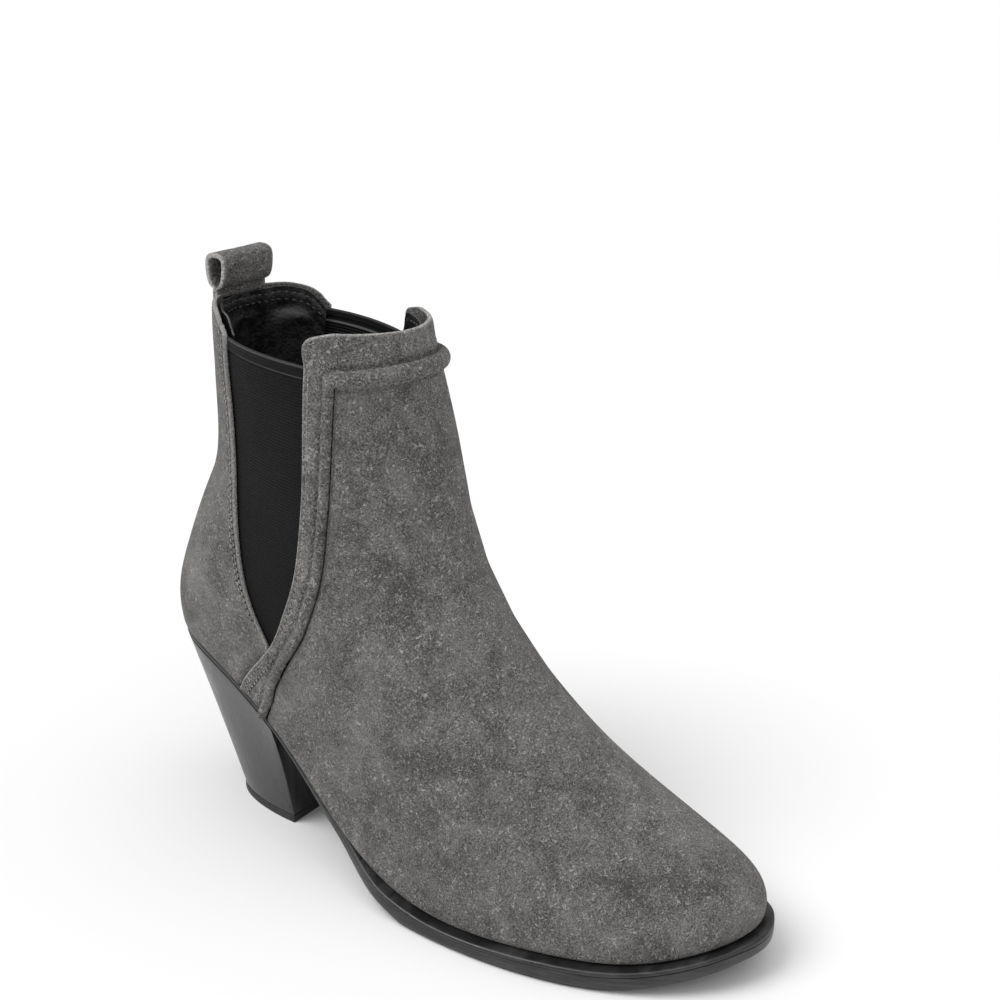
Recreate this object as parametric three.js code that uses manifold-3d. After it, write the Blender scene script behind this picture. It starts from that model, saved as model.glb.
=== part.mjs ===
// Chelsea ankle boot, right foot, with elastic gores, a corded collar and a lacquered wooden heel.
// Millimetres, +Z up, floor at z = 0. The toe points along -Y and the outer (lateral) side is -X.
//
// The upper is described on one surface, that of the last with the shaft added. A place on it has
// two coordinates: an angle round the boot (0 at the back seam, 90 on the lateral side, 180 at the
// toe and the front of the shaft, 270 on the medial side) and a level from 0 at the feather line,
// where upper and sole meet, to 1 above the rim. Every leather is a thin slab between two depths
// under that surface, so the layers keep their clearance wherever the shape goes.
import * as THREE from "three";
import { mergeVertices } from "three/addons/utils/BufferGeometryUtils.js";
import Module from "manifold-3d";

const wasm = await Module();
wasm.setup();

// ---- Driving dimensions ------------------------------------------------------------------------
const lastLength = 253; // feather line, from the seat to the toe
const lastWidth = 100; // across the ball
const shaftHeight = 206; // floor to the top level of the surface

const touching = 0.3; // clearance between pieces that touch
const layerGap = 0.6; // clearance between stacked curved layers
const suede = 1.6;
const middle = 1.0; // gore elastic, counter, toe puff and tapes
const lining = 0.8;

const pipingRadius = 1.9;
const rollRadius = 3.1;
const rollDepth = 0.5; // its middle stands this far out of the suede's face
const cordClearance = 0.5; // between a cord and the panel edges beside it

const weltThickness = 1.6;
const seatWelt = 0.8; // welt round the seat
const soleThickness = 4.8; // forepart
const waistThickness = 1.3; // outsole under the seat
const soleEdge = 3.8; // how far the sole stands out round the forepart
const seatEdge = -1; // under the arch and seat it is tucked in
const boardThickness = 2;
const sockThickness = 0.9;
const padThickness = 2;

const breastY = 54; // front face of the heel
const heelBackY = 92; // back of the heel where it meets its top piece
const heelHalfWidth = 20.5;
const topPiece = 3.2;

const shankWidth = 14;
const shankThickness = 1;
const shankFront = -16;
const shankBack = 78;
const rivetRadius = 1.5;
const screwRadius = 2.2;
const screwHeadRadius = 3.4;
const screwHead = 0.9;
const screwLength = 26;
const nailRadius = 1.1;
const nailLength = 20;
const nailPlaces = [[-15, 72], [15, 72], [-13, 104], [13, 104]];
const screwPlace = [0, 90];

const loopWidth = 26;
const loopHeight = 13;
const loopDepth = 11;
const loopThickness = 1.8;
const knuckleRadius = 1.6;
const anchorDrop = 16; // length of the loop's ends sewn in under the rim

// Depths of the layers under the surface: [outer face, inner face].
const suedeLayer = [0, -suede];
const middleLayer = [-suede - layerGap, -suede - layerGap - middle];
const liningLayer = [middleLayer[1] - layerGap, middleLayer[1] - layerGap - lining];
const puffLayer = [middleLayer[0] - 0.5, middleLayer[1]]; // thinner, where the toe curves hard
const boardInset = layerGap - liningLayer[1] + touching;

// ---- The surface -------------------------------------------------------------------------------
// Levels from the feather line to the top. back and front are the y, z ends of the level; sag is
// how much of the feather line's dip the level keeps; half and mid are the half width and the
// offset of the middle, at seven stations from the back to the front.
const straight = [0, 0, 0, 0, 0, 0, 0];
const levels = [
  { back: [122, 74], front: [-131, 17], sag: 1, half: [45, 46, 34, 35, 48, 51, 50], mid: [0, 0, 0, -9, -2, 3, 5] },
  { back: [123, 82], front: [-133, 30], sag: 0.85, half: [46, 48, 36, 32, 49, 52, 50], mid: [0, 0, 0, -6, -2, 4, 5] },
  { back: [123, 92], front: [-114, 41], sag: 0.6, half: [46, 48, 37, 33, 45, 44, 38], mid: [0, 0, 0, -4, -2, 2, 4] },
  { back: [114, 112], front: [-75, 56], sag: 0.36, half: [42, 44, 38, 35, 38, 34, 29], mid: [0, 0, 0, -2, 0, 1, 2] },
  { back: [105, 132], front: [-33, 90], sag: 0.14, half: [36, 38, 36, 34, 34, 30, 27], mid: straight },
  { back: [96, 148], front: [-9, 127], sag: 0.04, half: [34, 35, 34, 33, 33, 32, 30], mid: straight },
  { back: [97, 170], front: [-2, 161], sag: 0, half: [34, 34, 33, 32, 32, 32, 31], mid: straight },
  { back: [98, 188], front: [7, 187], sag: 0, half: [34, 34, 34, 33, 31, 31, 31], mid: straight },
  { back: [96, 206], front: [13, 206], sag: 0, half: [34, 34, 34, 33, 31, 31, 31], mid: straight },
];
// Height of the feather line at ten stations from the seat to the toe.
const featherHeights = [68.5, 67.5, 57, 40, 17, 6.5, 6, 8, 8, 17];

const stretchX = lastWidth / 100;
const stretchY = lastLength / 253;
const stretchZ = shaftHeight / 206;
const nails = nailPlaces.map(([x, y]) => [x * stretchX, y]);
const radians = THREE.MathUtils.degToRad;
const mix = THREE.MathUtils.lerp;
const ease = THREE.MathUtils.smoothstep;

// A smooth curve that starts and ends at the first and last value and is eased past the others.
function smooth(values, t) {
  const last = values.length - 1;
  const u = THREE.MathUtils.clamp(t, 0, 1) * last;
  const i = Math.min(Math.floor(u), last - 1);
  const f = u - i;
  const at = (k) => {
    if (k < 0) return 2 * values[0] - values[1];
    if (k > last) return 2 * values[last] - values[last - 1];
    return values[k];
  };
  const g = 1 - f;
  const weights = [g ** 3, 3 * f ** 3 - 6 * f ** 2 + 4, 3 * g ** 3 - 6 * g ** 2 + 4, f ** 3];
  return weights.reduce((sum, weight, k) => sum + (weight * at(i - 1 + k)) / 6, 0);
}

const column = (pick) => levels.map(pick);
const backY = column((l) => l.back[0]);
const backZ = column((l) => l.back[1]);
const frontY = column((l) => l.front[0]);
const frontZ = column((l) => l.front[1]);
const sags = column((l) => l.sag);
const halves = straight.map((_, k) => column((l) => l.half[k]));
const mids = straight.map((_, k) => column((l) => l.mid[k]));

function surface(angle, level) {
  const lateral = angle <= 180;
  const turn = radians(lateral ? angle : 360 - angle);
  const station = turn / Math.PI;
  const s = (1 - Math.cos(turn)) / 2;
  const half = smooth(halves.map((h) => smooth(h, level)), station);
  const mid = smooth(mids.map((m) => smooth(m, level)), station);
  const chord = mix(levels[0].back[1], levels[0].front[1], s);
  const dip = smooth(featherHeights, s) - chord;
  return new THREE.Vector3(
    stretchX * (mid + (lateral ? -1 : 1) * Math.sin(turn) * half),
    stretchY * mix(smooth(backY, level), smooth(frontY, level), s),
    stretchZ * (mix(smooth(backZ, level), smooth(frontZ, level), s) + smooth(sags, level) * dip),
  );
}

// A point at a depth under the surface: negative depths lie inside the boot.
function under(angle, level, depth) {
  const wrap = (a) => (a + 360) % 360;
  const around = surface(wrap(angle + 1), level).sub(surface(wrap(angle - 1), level));
  const upward = surface(wrap(angle), level + 0.01).sub(surface(wrap(angle), level - 0.01));
  const out = around.cross(upward).normalize();
  return surface(wrap(angle), level).addScaledVector(out, depth);
}

// Degrees round the boot, and share of a level, that a length in mm covers at a place.
const degrees = (mm, angle, level) =>
  (2 * mm) / surface(angle + 1, level).distanceTo(surface(angle - 1, level));
const share = (mm, angle, level) =>
  (0.02 * mm) / surface(angle, level + 0.01).distanceTo(surface(angle, level - 0.01));

// ---- Seams, as angle by level on the lateral side ----------------------------------------------
// A smooth line through [x, y] points, read as y by x and carried on straight past its ends.
function lineThrough(points) {
  const curve = new THREE.SplineCurve(points.map(([x, y]) => new THREE.Vector2(x, y)));
  const samples = curve.getPoints(points.length * 8);
  return (x) => {
    const k = Math.max(1, samples.findIndex((p) => p.x >= x));
    const after = x > samples.at(-1).x ? samples.at(-1) : samples[k];
    const before = x > samples.at(-1).x ? samples.at(-2) : samples[k - 1];
    return mix(before.y, after.y, (x - before.x) / (after.x - before.x));
  };
}

const footing = 0.004; // the outer leathers start this far above the feather line,
const liningFooting = 0.014; // and the linings this far
const gorePoint = 0.327; // level of the gore's bottom point
const goreRearTop = 0.92;
const goreFrontTop = 0.894;
const goreRear = lineThrough([[gorePoint, 68], [0.39, 63], [0.5, 59.5], [0.65, 56.5], [0.8, 58], [0.98, 63]]);
const goreFront = lineThrough([[gorePoint, 68], [0.43, 77], [0.54, 88.5], [0.65, 97], [0.77, 103], [0.92, 111]]);
const stripRear = lineThrough([[0, 54], [0.12, 57], [0.226, 61.5], [gorePoint, 68]]);
const pipingLine = lineThrough([
  [0, 60.5], [0.12, 63], [0.25, 67.5], [0.37, 76], [0.46, 86.5], [0.56, 99], [0.65, 107], [0.78, 115], [0.88, 121.5],
]);
const rollEnd = 122.5;
const rollLevel = (angle) => mix(0.874, 0.893, Math.sin(((angle - rollEnd) / (360 - 2 * rollEnd)) * Math.PI));
const slant = 1.2; // a slanting slot is this much wider round the boot than across itself

const pipingSlot = (pipingRadius + cordClearance) * slant;
const rollSlot = rollRadius + cordClearance;
const mirrored = (angle, medial) => (medial ? 360 - angle : angle);

// Rim of the back quarters: level by share of the way from the seam to the gore.
const backRim = lineThrough([[0, 0.976], [0.35, 0.977], [0.65, 0.974], [0.85, 0.956], [1, goreRearTop]]);

// ---- Making solids -----------------------------------------------------------------------------
// Closed geometry from points and triangles, turned so that its faces point out.
function closed(points, triangles) {
  let volume = 0;
  for (const [a, b, c] of triangles)
    volume += points[a].dot(new THREE.Vector3().crossVectors(points[b], points[c]));
  const index = triangles.flatMap(([a, b, c]) => (volume < 0 ? [a, c, b] : [a, b, c]));
  const geometry = new THREE.BufferGeometry().setFromPoints(points);
  geometry.setIndex(index);
  geometry.computeVertexNormals();
  return geometry;
}

// A slab between two depths. place(a, b) gives its angle and level for a and b from 0 to 1.
function slab(place, [outer, inner], across, up) {
  const points = [];
  for (const depth of [outer, inner])
    for (let j = 0; j <= up; j++)
      for (let i = 0; i <= across; i++) points.push(under(...place(i / across, j / up), depth));
  const sheet = (across + 1) * (up + 1);
  const at = (i, j, face) => face * sheet + j * (across + 1) + i;
  const triangles = [];
  const quad = (a, b, c, d) => triangles.push([a, b, c], [a, c, d]);
  for (let j = 0; j < up; j++)
    for (let i = 0; i < across; i++) {
      quad(at(i, j, 0), at(i + 1, j, 0), at(i + 1, j + 1, 0), at(i, j + 1, 0));
      quad(at(i, j, 1), at(i, j + 1, 1), at(i + 1, j + 1, 1), at(i + 1, j, 1));
    }
  for (let i = 0; i < across; i++) {
    quad(at(i, 0, 1), at(i + 1, 0, 1), at(i + 1, 0, 0), at(i, 0, 0));
    quad(at(i, up, 0), at(i + 1, up, 0), at(i + 1, up, 1), at(i, up, 1));
  }
  for (let j = 0; j < up; j++) {
    quad(at(0, j, 0), at(0, j + 1, 0), at(0, j + 1, 1), at(0, j, 1));
    quad(at(across, j, 1), at(across, j + 1, 1), at(across, j + 1, 0), at(across, j, 0));
  }
  return closed(points, triangles);
}

// A cord laid on the surface. place(a) gives its angle and level.
function cordOnSurface(place, radius, depth, steps, sides) {
  const route = [];
  for (let i = 0; i <= steps; i++) route.push(under(...place(i / steps), depth));
  const section = new THREE.Shape();
  for (let k = 0; k <= sides; k++) {
    const turn = (2 * Math.PI * k) / sides;
    const point = [radius * Math.cos(turn), radius * Math.sin(turn)];
    if (k === 0) section.moveTo(...point);
    else section.lineTo(...point);
  }
  const extrudePath = new THREE.CatmullRomCurve3(route);
  return new THREE.ExtrudeGeometry(section, { steps, extrudePath, bevelEnabled: false });
}

// A plank: crosswise stations, each with its top left, top right, bottom left and bottom right.
function plank(stations) {
  const points = stations.flat();
  const triangles = [];
  const quad = (a, b, c, d) => triangles.push([a, b, c], [a, c, d]);
  for (let i = 0; i < stations.length - 1; i++) {
    const [tl, tr, bl, br] = [0, 1, 2, 3].map((k) => 4 * i + k);
    const [nl, nr, ml, mr] = [4, 5, 6, 7].map((k) => 4 * i + k);
    quad(tl, tr, nr, nl);
    quad(bl, ml, mr, br);
    quad(tl, nl, ml, bl);
    quad(tr, br, mr, nr);
  }
  const end = 4 * (stations.length - 1);
  quad(0, 2, 3, 1);
  quad(end, end + 1, end + 3, end + 2);
  return closed(points, triangles);
}

function toSolid(geometry) {
  const bare = geometry.clone();
  for (const name of Object.keys(bare.attributes)) if (name !== "position") bare.deleteAttribute(name);
  const merged = mergeVertices(bare, 1e-4);
  const vertProperties = new Float32Array(merged.attributes.position.array);
  const triVerts = new Uint32Array(merged.index.array);
  return new wasm.Manifold(new wasm.Mesh({ numProp: 3, vertProperties, triVerts }));
}

function toGeometry(solid) {
  const mesh = solid.getMesh();
  const geometry = new THREE.BufferGeometry();
  geometry.setAttribute("position", new THREE.BufferAttribute(new Float32Array(mesh.vertProperties), 3));
  geometry.setIndex(new THREE.BufferAttribute(new Uint32Array(mesh.triVerts), 1));
  geometry.computeVertexNormals();
  return geometry;
}

const cut = (geometry, ...tools) =>
  toGeometry(tools.reduce((solid, tool) => solid.subtract(toSolid(tool)), toSolid(geometry)));

const boot = new THREE.Group();

const finishes = {
  suede: { color: 0x716c69, roughness: 0.95, metalness: 0 },
  elastic: { color: 0x17171a, roughness: 0.85, metalness: 0 },
  lining: { color: 0x121213, roughness: 0.45, metalness: 0 },
  sole: { color: 0x1d1c1d, roughness: 0.5, metalness: 0 },
  heel: { color: 0x3a3a3c, roughness: 0.4, metalness: 0 },
  rubber: { color: 0x18181a, roughness: 0.7, metalness: 0 },
  board: { color: 0xa98f6c, roughness: 0.9, metalness: 0 },
  stiffener: { color: 0xd8d3c6, roughness: 0.8, metalness: 0 },
  cork: { color: 0xb08a5a, roughness: 0.95, metalness: 0 },
  foam: { color: 0xd9cf9f, roughness: 0.95, metalness: 0 },
  steel: { color: 0x9a9ca0, roughness: 0.35, metalness: 1 },
};

function piece(name, geometry, finish) {
  const mesh = new THREE.Mesh(geometry, new THREE.MeshStandardMaterial(finishes[finish]));
  mesh.name = name;
  boot.add(mesh);
}

// ---- Upper -------------------------------------------------------------------------------------
function makeVamp() {
  const place = (a, b) => {
    const middleAngle = mix(rollEnd, 360 - rollEnd, a);
    const top = rollLevel(middleAngle) - share(rollSlot, middleAngle, 0.87);
    const level = mix(footing, top, b);
    const edge = pipingLine(level);
    const start = edge + degrees(pipingSlot, edge, level);
    return [mix(start, 360 - start, a), level];
  };
  piece("vamp", slab(place, suedeLayer, 26, 12), "suede");
}

// The collar is an arch: a strip up the lateral gore, a band across the front and a strip down the
// medial gore. Its outer edge follows gore and rim, and its inner edge follows piping and roll.
const bandRim = (angle) => mix(0.966, 0.975, Math.sin(radians(angle - 90)));
const stripSteps = 10;

function collarEdges() {
  const outer = [];
  const inner = [];
  const stripTop = rollLevel(rollEnd) - share(rollSlot, rollEnd, 0.87);
  for (let i = 0; i <= stripSteps; i++) {
    const outerLevel = mix(footing, goreFrontTop, i / stripSteps);
    const innerLevel = mix(footing, stripTop, i / stripSteps);
    const edge = pipingLine(innerLevel);
    outer.push([outerLevel < gorePoint ? stripRear(outerLevel) : goreFront(outerLevel), outerLevel]);
    inner.push([edge - degrees(pipingSlot, edge, innerLevel), innerLevel]);
  }
  const [besideRoll] = inner.at(-1);
  const above = rollLevel(rollEnd) + share(rollSlot, rollEnd, 0.87);
  outer.push([109.8, 0.925], [111.3, 0.945], [114.5, 0.958], [119, 0.965]);
  inner.push([besideRoll, mix(stripTop, above, 0.4)], [besideRoll, mix(stripTop, above, 0.75)]);
  inner.push([besideRoll + 0.8, above - 0.003], [besideRoll + 3, above]);
  for (let angle = 126; angle <= 180; angle += 9) {
    outer.push([angle, bandRim(angle)]);
    inner.push([angle, rollLevel(angle) + share(rollSlot, angle, 0.87)]);
  }
  const flip = (edge) => edge.slice(0, -1).reverse().map(([angle, level]) => [360 - angle, level]);
  return [outer.concat(flip(outer)), inner.concat(flip(inner))];
}

function makeCollar() {
  const [outer, inner] = collarEdges();
  const steps = outer.length - 1;
  const place = (a, b) => {
    const i = Math.round(a * steps);
    return [mix(outer[i][0], inner[i][0], b), mix(outer[i][1], inner[i][1], b)];
  };
  piece("front_collar", slab(place, suedeLayer, steps, 2), "suede");
}

function makeCords() {
  const top = rollLevel(rollEnd) - share(rollSlot + pipingRadius, rollEnd, 0.87);
  const depth = pipingRadius - suede;
  for (const medial of [false, true]) {
    const place = (a) => [mirrored(pipingLine(mix(footing, top, a)), medial), mix(footing, top, a)];
    const name = medial ? "piping_medial" : "piping_lateral";
    piece(name, cordOnSurface(place, pipingRadius, depth, 18, 6), "suede");
  }
  const across = (a) => {
    const angle = mix(rollEnd, 360 - rollEnd, a);
    return [angle, rollLevel(angle)];
  };
  piece("collar_roll", cordOnSurface(across, rollRadius, rollDepth, 18, 8), "suede");
}

function quarterEdge(level) {
  const edge = level < gorePoint ? stripRear(level) : goreRear(level);
  return edge - degrees(touching * slant, edge, level);
}

function makeQuarters() {
  for (const medial of [false, true]) {
    const place = (a, b) => {
      const level = mix(footing, backRim(a), b);
      const seam = degrees(touching / 2, 0, level);
      return [mirrored(mix(seam, quarterEdge(level), a), medial), level];
    };
    const name = medial ? "back_quarter_medial" : "back_quarter_lateral";
    piece(name, slab(place, suedeLayer, 8, 12), "suede");
  }
}

const goreMargin = 5; // how far the elastic runs on under the leather

function makeGores() {
  for (const medial of [false, true]) {
    const place = (a, b) => {
      const top = mix(goreRearTop, goreFrontTop, a);
      const level = mix(gorePoint - 0.03, top - 0.004, b);
      const rear = goreRear(Math.max(level, gorePoint));
      const front = goreFront(Math.max(level, gorePoint));
      const start = rear - degrees(goreMargin, rear, level);
      return [mirrored(mix(start, front + degrees(goreMargin, front, level), a), medial), level];
    };
    piece(medial ? "gore_medial" : "gore_lateral", slab(place, middleLayer, 6, 10), "elastic");
  }
}

function makeLinings() {
  const seamAngle = 68;
  const back = (a, b) => {
    const way = Math.abs(2 * a - 1);
    const level = mix(liningFooting, backRim(way) - 0.004, b);
    const edge = level < gorePoint ? seamAngle : goreRear(level);
    const limit = edge - degrees(layerGap, edge, level);
    return [mix(-limit, limit, a), level];
  };
  piece("back_lining", slab(back, liningLayer, 14, 11), "lining");
  const front = (a, b) => {
    const middleAngle = mix(110, 250, a);
    const level = mix(liningFooting, bandRim(THREE.MathUtils.clamp(middleAngle, 118, 242)) - 0.008, b);
    const edge = level < gorePoint ? seamAngle : goreFront(Math.min(level, 0.92));
    const start = edge + degrees(layerGap, edge, level);
    return [mix(start, 360 - start, a), level];
  };
  piece("front_lining", slab(front, liningLayer, 22, 11), "lining");
}

function makeStiffeners() {
  const counter = (a, b) => {
    const way = 2 * a - 1;
    return [54 * way, mix(0.03, 0.29 - 0.12 * way ** 2, b)];
  };
  piece("heel_counter", slab(counter, middleLayer, 10, 4), "stiffener");
  const puff = (a, b) => {
    const way = 2 * a - 1;
    return [180 + 42 * way, mix(0.03, 0.24 - 0.13 * way ** 2, b)];
  };
  piece("toe_puff", slab(puff, puffLayer, 12, 4), "stiffener");
  const tape = (a, b) => [8 * (2 * a - 1), mix(0.36, 0.8, b)];
  piece("back_seam_tape", slab(tape, middleLayer, 2, 8), "stiffener");
}

// ---- Bottom ------------------------------------------------------------------------------------
const seatTip = stretchY * backY[0];
const toeTip = stretchY * frontY[0];
const feather = (y) => stretchZ * smooth(featherHeights, (seatTip - y) / (seatTip - toeTip));

// x of the feather line at y, moved in by inset, on the lateral (-1) or medial (1) side.
const ring = [-1, 1].map((side) => {
  const points = [];
  for (let angle = 0; angle <= 180; angle += 1) points.push(surface(side < 0 ? angle : 360 - angle, 0));
  return points;
});

function edgeX(side, y, inset) {
  const points = ring[side < 0 ? 0 : 1];
  const moved = points.map((p, i) => {
    const along = points[Math.min(i + 1, 180)].clone().sub(points[Math.max(i - 1, 0)]).setZ(0).normalize();
    const inward = new THREE.Vector2(along.y, -along.x).multiplyScalar(side < 0 ? -1 : 1);
    return [p.x - inward.x * inset * -1, p.y - inward.y * inset * -1];
  });
  const k = moved.findIndex(([, py]) => py <= y);
  if (k <= 0) return moved[k === 0 ? 0 : 180][0];
  const [x1, y1] = moved[k];
  const [x0, y0] = moved[k - 1];
  return mix(x0, x1, (y - y0) / (y1 - y0));
}

// Crosswise stations from y0 back to y1 front, closer together near round ends.
function stations(y0, y1, count, inset, top, bottom) {
  const made = [];
  for (let i = 0; i <= count; i++) {
    const y = mix(y0, y1, (1 - Math.cos((Math.PI * i) / count)) / 2);
    const left = edgeX(-1, y, inset(y));
    const right = Math.max(edgeX(1, y, inset(y)), left + 1);
    made.push([
      new THREE.Vector3(left, y, top(y)),
      new THREE.Vector3(right, y, top(y)),
      new THREE.Vector3(left, y, bottom(y)),
      new THREE.Vector3(right, y, bottom(y)),
    ]);
  }
  return made;
}

const waist = (y) => ease(y, breastY - 60, breastY); // 0 at the forepart, 1 at the seat
const tuck = (y) => ease(y, breastY - 66, breastY - 36);
const edgeOut = (y) => mix(soleEdge, seatEdge, tuck(y));
const weltTop = (y) => feather(y) - touching;
const weltBottom = (y) => weltTop(y) - mix(weltThickness, seatWelt, waist(y));
const soleTop = (y) => weltBottom(y) - touching;
const soleBottom = (y) => {
  const low = soleTop(y) - mix(soleThickness, waistThickness, waist(y));
  return low < treadRise ? 0 : low - treadRise * ease(4 * treadRise - low, 0, 3 * treadRise);
};
const treadRise = 0.9; // the tread is flat where the sole would rise by less than this

const boardTop = (y) => feather(y) + touching + boardThickness;
const inner = boardInset;

function bore(radius, [x, y], zTop, zBottom) {
  const tool = new THREE.CylinderGeometry(radius, radius, zTop - zBottom, 12);
  return tool.rotateX(Math.PI / 2).translate(x, y, (zTop + zBottom) / 2);
}

function heelBores(extra) {
  const tools = nails.map(([x, y]) =>
    bore(nailRadius + touching, [x, y], boardTop(y) + extra, boardTop(y - nailRadius) - nailLength - 1));
  const [, y] = screwPlace;
  tools.push(bore(screwRadius + touching, screwPlace, boardTop(y) + extra, boardTop(y - screwHeadRadius) - screwLength - 1));
  return tools;
}

const rivetPlaces = [[0, shankFront + 14], [0, shankBack - 26]];
const headTop = (y, radius) => boardTop(y - radius) - touching; // sunk, as the board slopes

const slopingPlank = (half, y0, y1, top, bottom) => {
  const rows = [];
  for (let i = 0; i <= 12; i++) {
    const y = mix(y0, y1, i / 12);
    rows.push([[-half, top(y)], [half, top(y)], [-half, bottom(y)], [half, bottom(y)]]
      .map(([x, z]) => new THREE.Vector3(x, y, z)));
  }
  return plank(rows);
};

const rivetBores = () =>
  rivetPlaces.map(([x, y]) => bore(rivetRadius + touching, [x, y], boardTop(y) + 3, soleTop(y) - 1));

function screwWell() {
  const top = headTop(screwPlace[1], screwHeadRadius);
  return bore(screwHeadRadius + touching, screwPlace, top + 4, top - screwHead - touching);
}

function makeBoard() {
  const bottom = (y) => feather(y) + touching;
  const board = plank(stations(seatTip - inner, toeTip + inner, 24, () => inner, boardTop, bottom));
  piece("insole_board", cut(board, ...rivetBores(), screwWell(), ...heelBores(4)), "board");
}

function makeShank() {
  const shank = slopingPlank(shankWidth / 2, shankBack, shankFront, feather, (y) => feather(y) - shankThickness);
  piece("shank", cut(shank, ...rivetBores()), "steel");
  rivetPlaces.forEach(([x, y], i) => {
    const name = i === 0 ? "shank_rivet_front" : "shank_rivet_rear";
    piece(name, bore(rivetRadius, [x, y], headTop(y, rivetRadius), soleTop(y + rivetRadius) + touching), "steel");
  });
}

// Under the board, inside the welt: a leather cover round the shank, and cork under the forepart.
const coverFront = shankFront - 18;

function makeFillers() {
  const bottom = (y) => soleTop(y) + 1.5 * touching;
  const edge = inner + 2;
  const cover = plank(stations(seatTip - edge, coverFront, 16, () => edge, feather, bottom));
  const around = touching + shankWidth / 2;
  const slot = slopingPlank(around, shankBack + touching, shankFront - touching,
    (y) => feather(y) + 3, (y) => soleTop(y) - 3);
  piece("shank_cover", cut(cover, slot, screwWell(), ...heelBores(4)), "board");
  const cork = plank(stations(coverFront - touching, toeTip + edge, 14, () => edge, feather, bottom));
  piece("bottom_filler", cork, "cork");
}

function makeWelt() {
  const outside = plank(stations(seatTip + seatEdge, toeTip - soleEdge + 0.6, 34,
    (y) => -edgeOut(y) + 0.4, weltTop, weltBottom));
  const opening = inner + 1;
  const middleHole = plank(stations(seatTip - opening, toeTip + opening, 24,
    () => opening, (y) => weltTop(y) + 3, (y) => weltBottom(y) - 3));
  piece("welt", cut(outside, middleHole), "sole");
}

function makeSole() {
  const sole = plank(stations(seatTip + seatEdge, toeTip - soleEdge, 34, (y) => -edgeOut(y), soleTop, soleBottom));
  piece("outsole", cut(sole, ...heelBores(4)), "sole");
}

function heelFoot(way) {
  // Half of the heel's lower outline: way 0 at the back, 1 at the breast.
  const turn = (Math.PI / 2) * way;
  return [heelHalfWidth * Math.sin(turn) ** 0.75, mix(heelBackY, breastY, 1 - Math.cos(turn))];
}

function makeHeel() {
  const count = 14;
  const rows = [];
  const foot = [];
  for (let i = 0; i <= count; i++) {
    const way = i / count;
    const y = mix(seatTip + seatEdge, breastY, (1 - Math.cos(Math.PI * way)) / 2);
    const top = soleBottom(y) - touching;
    const left = edgeX(-1, y, -seatEdge);
    const right = Math.max(edgeX(1, y, -seatEdge), left + 1);
    const [half, footY] = heelFoot(Math.max(way, 0.02));
    const low = topPiece + touching;
    rows.push([
      new THREE.Vector3(left, y, top),
      new THREE.Vector3(right, y, top),
      new THREE.Vector3(-half, footY, low),
      new THREE.Vector3(half, footY, low),
    ]);
    foot.push([[-half, topPiece], [half, topPiece], [-half, 0], [half, 0]]
      .map(([x, z]) => new THREE.Vector3(x, footY, z)));
  }
  piece("heel_block", cut(plank(rows), ...heelBores(4)), "heel");
  piece("heel_top_piece", plank(foot), "rubber");
}

function makeHeelFasteners() {
  const [x, y] = screwPlace;
  const profile = [
    [0, 0], [screwHeadRadius, 0], [screwHeadRadius, -screwHead], [screwRadius, -screwHead],
    [screwRadius, -screwLength + 5], [0, -screwLength],
  ].map(([r, z]) => new THREE.Vector2(r, z)).reverse();
  const screw = new THREE.LatheGeometry(profile, 12);
  screw.rotateX(Math.PI / 2).translate(x, y, headTop(y, screwHeadRadius));
  piece("heel_screw", screw, "steel");
  nails.forEach((spot, i) => {
    const top = headTop(spot[1], nailRadius);
    piece("heel_nail_" + (i + 1), bore(nailRadius, spot, top, top - nailLength), "steel");
  });
}

// The heel pad thins out towards its front edge, and the sock lining rises over it.
const padFront = breastY + 4;
const padEdge = 0.7;
const padAt = (y) => mix(padEdge, padThickness, ease(y, padFront, padFront + 16));

function makeSock() {
  const onBoard = (y) => boardTop(y) + touching;
  const pad = plank(stations(seatTip - inner - 2, padFront, 10, () => inner + 2, (y) => onBoard(y) + padAt(y), onBoard));
  piece("heel_pad", pad, "foam");
  const rise = (y) => (y > padFront ? padAt(y) + touching : (padEdge + touching) * ease(y, padFront - 16, padFront));
  const bottom = (y) => onBoard(y) + rise(y);
  const top = (y) => bottom(y) + sockThickness;
  const sock = plank(stations(seatTip - inner - 1, toeTip + inner + 1, 24, () => inner + 1, top, bottom));
  piece("sock_lining", sock, "lining");
}

// ---- Pull loop ---------------------------------------------------------------------------------
const hingeLevel = backRim(0);
const rimCentre = under(0, hingeLevel, -suede - layerGap - loopThickness / 2);
const hinge = new THREE.Vector3(0, rimCentre.y, rimCentre.z + knuckleRadius + 3 * touching);

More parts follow.
